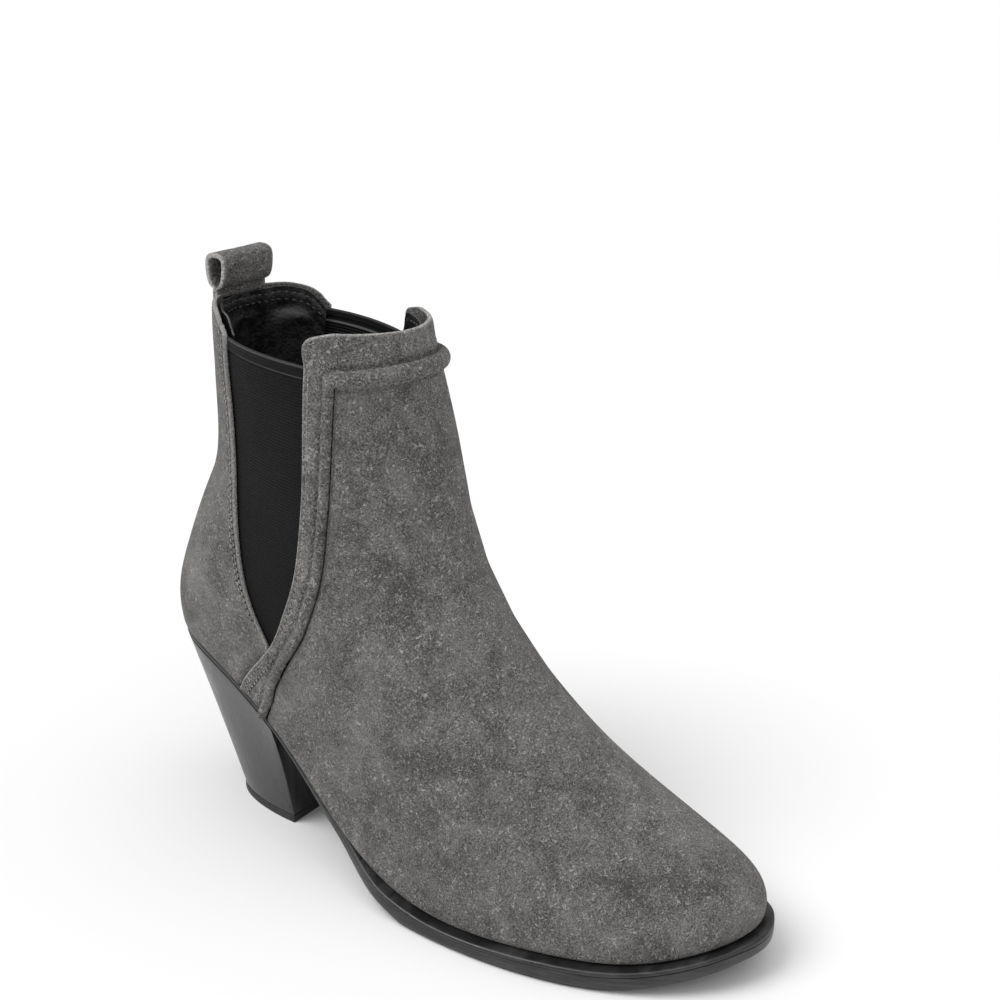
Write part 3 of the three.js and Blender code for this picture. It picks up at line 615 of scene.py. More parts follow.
DARK_THREAD = dressed("dark_thread", grey(0.03), grey(0.13), (1500, 1500, 1500), (0.5, 0.75), 0.3)
# dark beads at the needle holes are painted shadow standing for the shade inside each hole
HOLE_SHADOW = dressed("needle_hole_shadow", grey(0.006), grey(0.02), (900, 900, 900), (0.9, 1.0), 0.3,
    {"Specular IOR Level": 0.0})
INNER = {
    "board": dressed("fibre_board", (0.3, 0.2, 0.11, 1), (0.46, 0.34, 0.2, 1), (300, 300, 300),
        (0.75, 0.95), 1.0),
    "stiffener": dressed("stiff_cloth", (0.55, 0.51, 0.44, 1), (0.74, 0.7, 0.62, 1), (900, 900, 900),
    (0.8, 0.95), 0.6),
    "cork": dressed("cork_filler", (0.2, 0.11, 0.05, 1), (0.5, 0.33, 0.16, 1), (500, 500, 500), (0.8, 0.95),
    1.5),
    "foam": dressed("pad_foam", (0.6, 0.5, 0.28, 1), (0.75, 0.68, 0.45, 1), (1200, 1200, 1200),
    (0.85, 0.95), 1.2),
    "steel": dressed("plain_steel", grey(0.3), grey(0.5), (900, 60, 900), (0.25, 0.45), 0.3,
    {"Metallic": 1.0}),
}

# ---- Upper
FOOTING, LINING_FOOTING = 0.001, 0.014
STRIP_LAP = 0.6


def mix(a, b, t):
    return a + (b - a) * t


def beside(line, level, mm):
    """Angle of a place that many mm from a line, square to it, towards the front."""
    level = np.asarray(level, float)
    angle = line(level)
    per = degrees_per_mm(angle, level)
    low, high = np.maximum(level - 0.01, 0), level + 0.01
    rise = (line(high) - line(low)) / per * levels_per_mm(angle, level) / (high - low)
    return angle + mm * per * np.sqrt(1 + rise**2)


def waves(angle, level, amount, seed):
    """Soft unevenness of worked leather, in mm."""
    rng = np.random.default_rng(seed)
    total = 0
    for k in range(7):
        a, b = rng.uniform(0.02, 0.12), rng.uniform(6, 26)
        total = total + np.sin(angle * a * (1 + k * 0.3) + level * b + rng.uniform(0, 6)) / (1 + 0.5 * k)
    return total * amount / 2.2


def roll_gap(angle, side):
    return roll_level(angle) + side * (ROLL_RADIUS * 0.93) * levels_per_mm(angle, 0.87)


def vamp_place(a, b):
    middle = mix(ROLL_END, 360 - ROLL_END, a)
    level = mix(FOOTING, roll_gap(middle, -1), b)
    edge = beside(piping_line, level, PIPING_RADIUS * 0.92)
    return mix(edge, 360 - edge, a), level


def make_vamp():
    p = Panel(vamp_place, 1.6)
    relief = waves(p.angle, p.level, 0.35, 3) * ease(p.edge, 1, 14)
    relief += sunk_edge(p.bottom)
    side = np.minimum(p.left, p.right)
    relief += groove(side, 0.5, 0.9, 0.35) + ridge(side, 2.2, 1.0, 0.25)
    # creases where the ankle bends
    front = ridge(p.angle, 168, 55, 1)
    creases = [(0.52, 0.016, 0.5), (0.585, 0.02, 0.65), (0.66, 0.018, 0.4), (0.455, 0.02, 0.35)]
    for at, width, depth in creases:
        bent = at + 0.02 * np.sin(np.radians(p.angle * 1.7))
        relief += front * groove(p.level, bent, width, depth)
    obj = p.build("vamp_suede", 0.0, -SUEDE, relief, 0.9)
    finish_piece(obj, SUEDE_CLOTH, ["vamp"])


def band_rim(angle):
    return 0.966 + 0.009 * np.sin(np.radians(np.asarray(angle, float) - 90))


def collar_edges():
    """Outer and inner edge of the arch, as (angle, level) by step, lateral foot to medial foot."""
    steps = 20
    strip_top = float(roll_gap(ROLL_END, -1))
    above = float(roll_gap(ROLL_END, 1))
    outer, inner = [], []
    for i in range(steps + 1):
        low, high = mix(FOOTING, FRONT_TOP, i / steps), mix(FOOTING, strip_top, i / steps)
        lap = -STRIP_LAP * (1 - float(ease(low, 0.05, GORE_POINT)))
        edge = beside(strip_rear, low, lap) if low < GORE_POINT else gore_front(low)
        outer.append((float(edge), low))
        inner.append((float(beside(piping_line, high, -PIPING_RADIUS * 0.92)), high))
    corner = inner[-1][0]
    outer += [(109.7, 0.912), (110.0, 0.93), (111.2, 0.946), (114.0, 0.957), (118, 0.963)]
    hug = [(0.0, 0.2), (0.9, 0.5), (2.2, 0.75), (4.0, 0.93), (6.0, 1.0)]
    inner += [(corner + turn, mix(strip_top, above, rise)) for turn, rise in hug]
    for angle in range(126, 181, 6):
        outer.append((angle, float(band_rim(angle))))
        inner.append((angle, float(roll_gap(angle, 1))))
    return [np.array(e + [(360 - a, v) for a, v in e[-2::-1]]) for e in (outer, inner)]


def make_collar():
    outer, inner = collar_edges()
    index = np.arange(len(outer))
    curves = [line_through(np.column_stack([index, e[:, k]])) for e in (outer, inner) for k in (0, 1)]
    last = len(outer) - 1

    def place(a, b):
        # across the arch is a, along it is b
        o_angle, o_level, i_angle, i_level = [c(b * last) for c in curves]
        return mix(o_angle, i_angle, a), mix(o_level, i_level, a)

    p = Panel(place, 1.5)
    lower = 1 - ease(p.level, 0.27, GORE_POINT + 0.01)
    rim = ease(p.level, 0.9, 0.93)
    relief = waves(p.angle, p.level, 0.18, 8) * ease(p.edge, 0.5, 4)
    relief += lower * 0.75 * (1 - ease(p.left, 1.2, 5.5))
    relief += groove(p.left, 1.9, 0.5, 0.3) * (1 - rim) + groove(p.left, 3.9, 0.5, 0.3) * lower
    relief += groove(p.right, 0.4, 1.3, 0.55) + ridge(p.right, 2.8, 0.9, 0.15)
    relief += rim * waves(p.angle * 3.1, p.level * 2.7, 0.35, 12) * ease(p.edge, 0.2, 2)
    relief += sunk_edge(np.minimum(p.bottom, p.top))
    obj = p.build("collar_suede", 0.0, -SUEDE, relief, 0.7)
    finish_piece(obj, SHAGGY, ["front_collar"])


def quarter_edge(level):
    under_strip = beside(strip_rear, np.minimum(level, GORE_POINT), 0.9 * (1 - ease(level, 0.27, GORE_POINT)))
    return np.where(level < GORE_POINT, under_strip, gore_rear(np.maximum(level, GORE_POINT)))


def make_quarter(medial):
    def place(a, b):
        level = mix(FOOTING, back_rim(a), b)
        seam = degrees_per_mm(0.0, level) * 0.06
        return mirrored(mix(seam, quarter_edge(level), a), medial), level

    p = Panel(place, 1.6)
    by_gore = ease(p.level, 0.30, 0.36)
    relief = waves(p.angle, p.level, 0.25, 21 + medial) * ease(p.edge, 1, 10)
    relief -= (1 - by_gore) * 1.35 * (1 - ease(p.right, 2.2, 4.2)) * (1 - ease(p.level, 0.27, 0.33))
    edge_rows = groove(p.right, 2.0, 0.5, 0.3) + groove(p.right, 3.8, 0.5, 0.26)
    edge_rows += ridge(p.right, 5.4, 0.7, 0.32) - 0.15 * (1 - ease(p.right, 4.4, 6))
    relief += by_gore * edge_rows
    relief += groove(p.left, 2.4, 0.5, 0.22) + groove(p.left, 0.0, 0.8, 0.25)
    relief += groove(p.top, 2.4, 0.5, 0.25) + sunk_edge(p.bottom)
    side = "medial" if medial else "lateral"
    obj = p.build("quarter_suede_" + side, 0.0, -SUEDE, relief, 0.75)
    finish_piece(obj, SUEDE_CLOTH, ["back_quarter_" + side])


def make_cords():
    level = dense(FOOTING, 0.842, 0.004)
    wobble = 1 + 0.03 * np.sin(level * 190) + 0.02 * np.sin(level * 410 + 1)
    for medial in (False, True):
        side = "medial" if medial else "lateral"
        angle = mirrored(piping_line(level), medial)
        cord = swept_cord("piping_" + side + "_cord", angle, level, PIPING_RADIUS, 0.35, 18, wobble)
        finish_piece(cord, SHAGGY, ["piping_" + side])
    # the roll's ends turn down into the pipings
    turn = np.linspace(0, 4, 26)
    corner = [(piping_line(0.843), 0.843), (119.9, 0.858), (121.6, 0.8705), (124.3, 0.8765)]
    corner.append((127.5, roll_level(127.5)))
    bend = [line_through([(k, c[i]) for k, c in enumerate(corner)])(turn) for i in (0, 1)]
    middle = dense(128.3, 180, 0.75)
    angle = np.concatenate([bend[0], middle, 360 - middle[-2::-1], 360 - bend[0][::-1]])
    half_level = np.concatenate([bend[1], roll_level(middle)])
    level = np.concatenate([half_level, half_level[-2::-1]])
    grow = np.concatenate([ease(turn, 0, 3.6), np.ones(len(middle))])
    grow = np.concatenate([grow, grow[-2::-1]])
    uneven = 1 + 0.03 * np.sin(angle * 1.3) + 0.025 * np.sin(angle * 2.9 + 2)
    size = mix(PIPING_RADIUS / ROLL_RADIUS, 1.0, grow) * uneven
    roll = swept_cord("collar_roll_cord", angle, level, ROLL_RADIUS, mix(0.35, 0.6, grow), 26, size)
    finish_piece(roll, SHAGGY, ["collar_roll"])


# ---- Elastic gores: the webbing's ribs are raised by Geometry Nodes
def shape_group(name, numbers):
    """An empty Geometry Nodes group that takes a geometry, named numbers and a material."""
    tree = bpy.data.node_groups.new(name, "GeometryNodeTree")
    kinds = [("Geometry", "Geometry"), *((label, "Float") for label in numbers), ("Material", "Material")]
    for label, kind in kinds:
        tree.interface.new_socket(label, in_out="INPUT", socket_type="NodeSocket" + kind)
    tree.interface.new_socket("Geometry", in_out="OUTPUT", socket_type="NodeSocketGeometry")
    return tree, tree.nodes.new("NodeGroupInput").outputs, tree.nodes.new("NodeGroupOutput").inputs


def ribs_tree():
    """Lifts points along their normal by a wave of the stored distance 'rib'."""
    tree, given, result = shape_group("raise_ribs", ["Pitch", "Height"])

    def stored(name):
        node = tree.nodes.new("GeometryNodeInputNamedAttribute")
        node.data_type = "FLOAT"
        node.inputs["Name"].default_value = name
        return node.outputs["Attribute"]

    turns = calc(tree, "DIVIDE", times(tree, stored("rib"), 2 * math.pi), given["Pitch"])
    wave = times(tree, calc(tree, "SINE", turns), stored("rib_share"))
    lift = times(tree, wave, given["Height"])
    normal = tree.nodes.new("GeometryNodeInputNormal").outputs[0]
    offset = add(tree, "ShaderNodeVectorMath", {0: normal, 3: lift}, operation="SCALE").outputs[0]
    moved = add(tree, "GeometryNodeSetPosition", {"Geometry": given["Geometry"], "Offset": offset})
    whole = add(tree, "GeometryNodeRealizeInstances", {0: moved.outputs[0]})
    done = add(tree, "GeometryNodeSetMaterial", {"Geometry": whole.outputs[0], "Material": given["Material"]})
    tree.links.new(done.outputs[0], result[0])
    return tree


def sockets(tree):
    return {s.name: s.identifier for s in tree.interface.items_tree if s.in_out == "INPUT"}


def grown(obj, tree, values):
    """The plain mesh that a Geometry Nodes tree makes of an object, in its place."""
    modifier = obj.modifiers.new("grow", "NODES")
    modifier.node_group = tree
    names = sockets(tree)
    for key, value in values.items():
        modifier[names[key]] = value
    mesh = bpy.data.meshes.new_from_object(obj.evaluated_get(bpy.context.evaluated_depsgraph_get()))
    obj.modifiers.remove(modifier)
    old = obj.data
    obj.data = mesh
    mesh.name = obj.name
    bpy.data.meshes.remove(old)
    return obj


def make_gore(medial, tree):
    margin = 5.0

    def place(a, b):
        level = mix(GORE_POINT - 0.03, mix(REAR_TOP, FRONT_TOP, a) - 0.004, b)
        held = np.maximum(level, GORE_POINT)
        start = beside(gore_rear, held, -margin)
        end = beside(gore_front, held, margin)
        return mirrored(mix(start, end, a), medial), level

    across, up = 46, 620
    a, b = np.meshgrid(np.linspace(0, 1, across), np.linspace(0, 1, up))
    angle, level = place(a, b)
    points = surface(angle, level)
    drop = np.zeros((up, across))
    for i in range(across):
        s = arc_lengths(points[:, i])
        drop[:, i] = s[-1] - s
    side = arc_lengths(points[up // 2])
    cross = np.repeat(side[None], up, 0)
    hem = 1 - ease(drop, HEM - 0.5, HEM + 0.5)
    depth = GORE_OUT + 0.55 * hem + groove(drop, HEM + 0.4, 0.35, 0.25) + groove(drop, 2.2, 0.3, 0.18)
    depth = depth - 0.5 * np.sin(np.pi * a) * ease(drop, 5, 25)
    outer = under(angle, level, depth)
    inner_face = under(angle, level, depth - (GORE_OUT - GORE_IN))
    faces = slab_faces(across, up)
    share = ease(drop, HEM + 0.4, HEM + 1.2)
    side_name = "medial" if medial else "lateral"
    values = {"rib": np.tile(drop.ravel(), 2), "rib_share": np.tile(share.ravel(), 2),
        "cross": np.tile(cross.ravel(), 2)}
    obj = make_object("gore_webbing_" + side_name,
        np.concatenate([outer.reshape(-1, 3), inner_face.reshape(-1, 3)]), faces, values)
    grown(obj, tree, {"Pitch": RIB_PITCH, "Height": 0.16 * MM, "Material": ELASTIC})
    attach(obj, "root")
    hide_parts("gore_" + side_name)


# ---- Linings
def wrinkles(angle, level, seed):
    """Puckers of a lining that is looser than the leather outside it, always inwards, in mm."""
    rng = np.random.default_rng(seed)
    total = np.zeros_like(angle)
    for k in range(9):
        at_a, at_l = rng.uniform(-50, 50), rng.uniform(0.6, 0.93)
        long_way, short_way, turn = rng.uniform(9, 22), rng.uniform(1.8, 4.0), rng.uniform(-1.2, 1.2)
        u, v = (angle - at_a) * 0.62, (level - at_l) * 150
        p, q = u * math.cos(turn) + v * math.sin(turn), -u * math.sin(turn) + v * math.cos(turn)
        total += np.exp(-((p / long_way) ** 2) - (q / short_way) ** 2) * rng.uniform(1.1, 2.3)
    return -np.minimum(total, 2.6)


def rim_lean(angle, below_rim):
    """How far the back lining leans out to the suede near the rim, beside the strap, in mm."""
    beside_strap = ease(np.abs(angle), 20, 28) * (1 - ease(np.abs(angle), 45, 53))
    return 1.2 * beside_strap * (1 - ease(below_rim, 7, 16))


def make_linings():
    def back(a, b):
        way = np.abs(2 * a - 1)
        level = mix(LINING_FOOTING, back_rim(way) - 0.005, b)
        limit = np.where(level < GORE_POINT, 68, gore_rear(np.maximum(level, GORE_POINT))) - 0.8
        return mix(-limit, limit, a), level

    p = Panel(back, 1.6)
    relief = wrinkles(p.angle, p.level, 5) * ease(p.top, 7, 11) * ease(np.minimum(p.left, p.right), 2, 8)
    relief += groove(p.top, 3.0, 0.45, 0.3) + groove(p.top, 5.8, 0.45,
        0.3) - 0.35 * (1 - ease(p.top, 6.0, 8.0))
    relief += rim_lean(p.angle, p.top)
    obj = p.build("back_lining_leather", LINING_OUT, LINING_IN, relief, 0.35)
    finish_piece(obj, LINING_LEATHER, ["back_lining"])

    def front(a, b):
        middle = mix(110, 250, a)
        from_end = np.minimum(middle, 360 - middle)
        top = band_rim(np.clip(middle, 118, 242)) - 0.012 - 0.07 * (1 - ease(from_end, 108, 121)) ** 1.5
        level = mix(LINING_FOOTING, top, b)
        held = np.clip(level, GORE_POINT, 0.92)
        start = np.where(level < GORE_POINT, 68, gore_front(held)) + 0.8
        return mix(start, 360 - start, a), level

    p = Panel(front, 2.2)
    relief = -0.5 * np.abs(waves(p.angle * 1.4, p.level * 1.6, 0.5, 31)) * ease(p.edge, 2, 9)
    relief += groove(p.top, 3.0, 0.5, 0.3)
    obj = p.build("front_lining_leather", LINING_OUT, LINING_IN, relief, 0.35)
    finish_piece(obj, LINING_LEATHER, ["front_lining"])


# ---- Bottom and heel
GAP, WELT, SEAT_WELT, BOARD, SOCK, PAD, PAD_EDGE = 0.3, 1.6, 0.8, 2.0, 0.9, 2.0, 0.7
FOREPART, SEAT_PART, TREAD_RISE = 4.8, 1.3, 0.9
INNER_INSET = 5.5


def welt_depth(y):
    return mix(WELT, SEAT_WELT, waist(y))


def sole_top(y):
    return feather(y) - GAP - welt_depth(y) - GAP


def sole_bottom(y):
    low = sole_top(y) - mix(FOREPART, SEAT_PART, waist(y))
    return np.where(low < TREAD_RISE, 0.0, low - TREAD_RISE * ease(4 * TREAD_RISE - low, 0, 3 * TREAD_RISE))


PAD_FRONT = BREAST_Y + 4


def on_board(y):
    return feather(y) + GAP + BOARD + GAP


def pad_at(y):
    return mix(PAD_EDGE, PAD, ease(y, PAD_FRONT, PAD_FRONT + 16))


def make_pad():
    """The heel pad: a crowned piece of foam whose sides pull in between its corners."""
    count, rows = 96, 14
    inset = INNER_INSET + 2.6
    back_y = SEAT_TIP - inset
    turn = np.arange(count) * 2 * math.pi / count
    mid_y, half_y = (back_y + PAD_FRONT + 0.5) / 2, (back_y - PAD_FRONT - 0.5) / 2
    corner = lambda v: np.sign(v) * np.abs(v) ** 0.6
    plan_y = mid_y + half_y * corner(np.cos(turn))
    width = np.minimum(outline_x(1, plan_y, -inset), -outline_x(-1, plan_y, -inset))
    plan_x = corner(np.sin(turn)) * width * (1 - 0.05 * np.cos(turn * 2) ** 2)
    rings = []
    for k in range(rows):
        way = k / (rows - 1) * math.pi
        share = max(math.sin(way), 0.002) ** 0.5
        side = (1 - math.cos(way)) / 2
        x, y = plan_x * share, mid_y + (plan_y - mid_y) * share
        rings.append(np.column_stack([x, y, on_board(y) + pad_at(y) * (0.06 + 0.86 * side)]))
    pad = make_object("heel_pad_foam", np.concatenate(rings), tube_faces(count, rows))
    finish_piece(pad, INNER["foam"], ["heel_pad"])


def make_bottom():
    out = edge_out

    def profile(depth, rows):
        return [((lambda y, d=d: out(y) + d), (lambda y, k=k: -depth(y) * k)) for d, k in rows]

    sole_rows = [(-7, 1.0), (-1.7, 1.0), (-1.1, 0.975), (-0.75, 0.9), (-0.7, 0.79), (-0.55, 0.765),
        (-0.15, 0.745),
                 (0.0, 0.7), (0.05, 0.45), (0.0, 0.12), (-0.02, 0.02), (-0.2, 0.0), (-1.1, 0.0), (-7, 0.0)]
    sole = footprint("outsole_plate", profile(lambda y: sole_top(y) - sole_bottom(y), sole_rows), sole_top)
    finish_piece(sole, SOLE_EDGE_DRESSING, ["outsole"])
    welt_rows = [(-8, 1.0), (-0.2, 1.0), (-0.03, 0.98), (-0.02, 0.85), (-0.08, 0.4), (-0.4, 0.12),
        (-1.1, 0.0), (-2.2, 0.0), (-8, 0.0)]
    welt = footprint("welt_strip", profile(welt_depth, welt_rows), lambda y: feather(y) - GAP)
    finish_piece(welt, SOLE_EDGE_DRESSING, ["welt"])
    # the sock lining lies on the board, and over the pad at the seat
    sock_low = lambda y: on_board(y) + np.where(y > PAD_FRONT, pad_at(y) + GAP,
        (PAD_EDGE + GAP) * ease(y, PAD_FRONT - 16, PAD_FRONT))
    inset = INNER_INSET + 1
    sock_rows = [(-inset - 6, 0.0), (-inset - 0.4, 0.0), (-inset, 0.25), (-inset, SOCK - 0.25),
        (-inset - 0.5, SOCK),
                 (-inset - 3, SOCK + 0.05), (-inset - 6, SOCK + 0.05)]
    sock = footprint("sock_lining_leather", [((lambda y, d=d: d + 0 * y), dz) for d, dz in sock_rows],
        sock_low)
    finish_piece(sock, INSOLE_LEATHER, ["sock_lining"])


def outline_x(side, y, out):
    """x of the feather line moved out, at y, on one side (-1 lateral, 1 medial)."""
    plan = outline(out)
    half = plan[: RING // 2 + 1] if side < 0 else np.roll(plan, -1, 0)[::-1][: RING // 2 + 1]
    return np.interp(-np.asarray(y), -half[:, 1], half[:, 0])


def heel_rings(rows, back=72, breast=14):
    """Outlines of the heel by share of its height, from the seat to the top piece."""
    way = np.linspace(0.0, 1.0, back // 2 + 1)
    top_y = mix(SEAT_TIP + SEAT_EDGE, BREAST_Y, (1 - np.cos(np.pi * way)) / 2)
    turn = np.pi / 2 * way
    foot_x = HEEL_HALF_WIDTH * np.sin(turn) ** 0.75
    foot_y = mix(HEEL_BACK_Y, BREAST_Y, 1 - np.cos(turn))
    rings = []
    for t in rows:
        sides = []
        for side in (-1, 1):
            x = mix(outline_x(side, top_y, SEAT_EDGE), side * foot_x, t)
            y = mix(top_y, foot_y, t)
            x = x * (1 - 0.035 * math.sin(math.pi * t) * np.sin(turn))
            sides.append(np.column_stack([x, y]))
        lateral, medial = sides
        face = np.linspace(0, 1, breast + 2)[1:-1]
        hollow = 1.2 * math.sin(math.pi * min(t, 1)) ** 0.5 * np.sin(np.pi * face)
        front = np.column_stack([mix(lateral[-1, 0], medial[-1, 0], face), BREAST_Y + hollow])
        rings.append(np.concatenate([lateral, front, medial[::-1][:-1]]))
    return rings


def ring_solid(name, rings, heights):
    count = len(rings[0])
    layers = [np.column_stack([r, np.broadcast_to(h, (count,))]) for r, h in zip(rings, heights)]
    points = np.concatenate(layers)
    return make_object(name, points, tube_faces(count, len(rings)))


def soften(obj, width, segments=3, angle=35):
    """Rounds an object's sharp edges for good."""
    modifier = obj.modifiers.new("soften", "BEVEL")
    modifier.width, modifier.segments = width * MM, segments
    modifier.limit_method, modifier.angle_limit = "ANGLE", math.radians(angle)
    mesh = bpy.data.meshes.new_from_object(obj.evaluated_get(bpy.context.evaluated_depsgraph_get()))
    obj.modifiers.clear()
    obj.data = mesh
    return obj


def make_heel():
    shares = np.linspace(0, 1, 26)
    rings = heel_rings(shares)
    seat = sole_bottom(rings[0][:, 1]) - GAP
    heights = [mix(seat, TOP_PIECE + GAP, t) for t in shares]
    heel = soften(ring_solid("heel_lacquered_block", rings, heights), 0.7)
    finish_piece(heel, HEEL_LACQUER, ["heel_block"])
    foot = heel_rings([1.0])[0]
    top = soften(ring_solid("heel_top_lift", [foot] * 3, [0.0, TOP_PIECE / 2, TOP_PIECE]), 0.35, 2)
    finish_piece(top, TOP_RUBBER, ["heel_top_piece"])


# ---- Pull strap
def make_pull_strap():
    low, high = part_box("pull_loop")
    hinge_y = (low.y + high.y) / 2 / MM - ROW_ORIGIN[1]
    base_z = low.z / MM + 1.6
    half = LOOP_HALF_DEPTH
    peak = LOOP_HEIGHT - LOOP_THICKNESS / 2
    turn = np.linspace(0, np.pi, 31)
    side_way = np.sign(np.cos(turn)) * np.abs(np.cos(turn)) ** 0.75
    crown = np.column_stack([half * side_way, peak - LOOP_CROWN + LOOP_CROWN * np.sin(turn) ** 0.75])
    t = np.linspace(0, 1, 14)[:-1, None]
    p0, p1, p2, p3 = [np.array(p) for p in ((0.62, 0.2), (1.6, 1.0), (half, 1.0), (half, peak - LOOP_CROWN))]
    leg = p0 * (1 - t) ** 3 + 3 * p1 * t * (1 - t) ** 2 + 3 * p2 * t**2 * (1 - t) + p3 * t**3
    tail = np.column_stack([np.full(7, 0.62), np.linspace(-3.6, 0, 7)])
    one = np.concatenate([tail, leg])
    path = np.concatenate([one, crown, (one * [-1, 1])[::-1]])
    rank = arc_lengths(path)
    at = np.linspace(0, rank[-1], 110)
    path = np.column_stack([np.interp(at, rank, path[:, k]) for k in (0, 1)])
    along = np.gradient(path, axis=0)
    along /= np.linalg.norm(along, axis=1, keepdims=True)
    across = np.column_stack([along[:, 1], -along[:, 0]])
    half_w, half_t, r = LOOP_WIDTH / 2, LOOP_THICKNESS / 2, 0.5
    x = np.concatenate([[-half_w, -half_w + 0.15, -half_w + r], np.linspace(-half_w + 1.5, half_w - 1.5, 17),
                        [half_w - r, half_w - 0.15, half_w]])
    thick = np.full(len(x), half_t)
    thick[[0, -1]], thick[[1, -2]] = half_t - r, half_t - 0.2
    ring_x = np.concatenate([x, x[::-1]])
    ring_t = np.concatenate([thick, -thick])
    fold = 0.1 * np.sin(ring_x * 0.3 + 1)[None] * np.sin(at * 0.21)[:, None]
    thin = mix(0.6, 1.0, ease(path[:, 1], 0, 2.5))[:, None]
    lean = path[:, None, :] + across[:, None, :] * (ring_t[None] * thin + fold)[..., None]
    # the strap follows the bend of the wall at the rim and straightens above it
    bow_angle = np.linspace(-26, 26, 53)
    bow = under(bow_angle, np.full(53, 0.97), np.full(53, -2.7))
    behind = np.interp(ring_x, bow[:, 0], bow[:, 1]) - np.interp(0.0, bow[:, 0], bow[:, 1])
    follow = mix(1.0, 0.45, ease(lean[..., 1], 0, 9))
    wall = under(np.zeros(40), np.linspace(0.9, 0.976, 40), np.full(40, -2.7))
    slope = np.interp(base_z + lean[..., 1], wall[:, 2], wall[:, 1]) - hinge_y
    slope = np.where(lean[..., 1] < 0, slope, 0.0)
    y = hinge_y + lean[..., 0] + behind[None, :] * follow + slope
    points = np.stack([np.broadcast_to(ring_x, lean.shape[:2]), y, base_z + lean[..., 1]], -1)
    sides, rows = len(ring_x), len(path)
    cut = np.tile(np.clip(1.2 - (half_w - np.abs(ring_x)) / 0.7, 0, 1), rows)
    strap = make_object("pull_strap_suede", points.reshape(-1, 3), tube_faces(sides, rows), {"cut_edge": cut})
    strap.data.materials.append(SHAGGY)
    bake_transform(strap)
    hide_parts("pull_loop", "pull_loop_anchor")


# ---- Sewing: threads laid along seams by Geometry Nodes
def stitch_tree():
    """Instances a short thread along each polyline, lying along it with its back outwards."""
    tree, given, result = shape_group("lay_stitches",
        ["Pitch", "Length", "Width", "Height", "Start", "Slant"])
    curve = add(tree, "GeometryNodeMeshToCurve", {0: given["Geometry"]}).outputs[0]
    trimmed = add(tree, "GeometryNodeTrimCurve", {"Curve": curve}, mode="LENGTH")
    tree.links.new(given["Start"], trimmed.inputs[4])
    trimmed.inputs[5].default_value = 10.0
    even = add(tree, "GeometryNodeResampleCurve", {"Curve": trimmed.outputs[0], "Length": given["Pitch"]},
        mode="LENGTH")
    up = tree.nodes.new("GeometryNodeInputNamedAttribute")
    up.data_type = "FLOAT_VECTOR"
    up.inputs["Name"].default_value = "up"
    tangent = tree.nodes.new("GeometryNodeInputTangent").outputs[0]
    first = add(tree, "FunctionNodeAlignRotationToVector", {"Vector": up.outputs["Attribute"]}, axis="Z")
    second = add(tree, "FunctionNodeAlignRotationToVector",
        {"Rotation": first.outputs[0], "Vector": tangent}, axis="X", pivot_axis="Z")
    slant = add(tree, "ShaderNodeCombineXYZ", {"Z": given["Slant"]}).outputs[0]
    turned = add(tree, "FunctionNodeRotateRotation", {0: second.outputs[0]}, rotation_space="LOCAL")
    tree.links.new(add(tree, "FunctionNodeEulerToRotation", {0: slant}).outputs[0], turned.inputs[1])
    bead = add(tree, "GeometryNodeMeshUVSphere", {"Segments": 8, "Rings": 5, "Radius": 0.5}).outputs[0]
    size = add(tree, "ShaderNodeCombineXYZ",
        {"X": given["Length"], "Y": given["Width"], "Z": given["Height"]}).outputs[0]
    laid = add(tree, "GeometryNodeInstanceOnPoints", {"Points": even.outputs[0], "Instance": bead,
                                                      "Rotation": turned.outputs[0], "Scale": size})
    whole = add(tree, "GeometryNodeRealizeInstances", {0: laid.outputs[0]})
    smoothed = add(tree, "GeometryNodeSetShadeSmooth", {0: whole.outputs[0]})
    done = add(tree, "GeometryNodeSetMaterial",
        {"Geometry": smoothed.outputs[0], "Material": given["Material"]})
    tree.links.new(done.outputs[0], result[0])
    return tree


def seam_object(name, rows):
    """Polylines for a set of seams. Each row is (angle, level, depth, outward or inward)."""
    points, edges, ups = [], [], []
    for angle, level, depth, facing in rows:
        start = sum(len(p) for p in points)
        points.append(under(angle, level, np.broadcast_to(depth, np.shape(angle))))
        ups.append(outward(angle, level) * facing)
        edges += [(start + k, start + k + 1) for k in range(len(angle) - 1)]
    mesh = bpy.data.meshes.new(name)
    mesh.from_pydata(((np.concatenate(points) + ROW_ORIGIN) * MM).tolist(), edges, [])
    mesh.attributes.new("up", "FLOAT_VECTOR", "POINT").data.foreach_set("vector", np.concatenate(ups).ravel())
    obj = bpy.data.objects.new(name, mesh)
    bpy.context.scene.collection.objects.link(obj)
    return obj


def sew(name, rows, tree, thread, pitch=2.3, length=1.75, width=0.55, height=0.5, start=0.5, slant=0.0):
    obj = seam_object(name, rows)
    values = {"Pitch": pitch * MM, "Length": length * MM, "Width": width * MM, "Height": height * MM,
              "Start": start * MM, "Slant": slant, "Material": thread}
    grown(obj, tree, values)
    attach(obj, "root")


def both_sides(line, levels, offset, depth):
    angle = beside(line, levels, offset)
    return [(mirrored(angle, m), levels, depth, 1) for m in (False, True)]


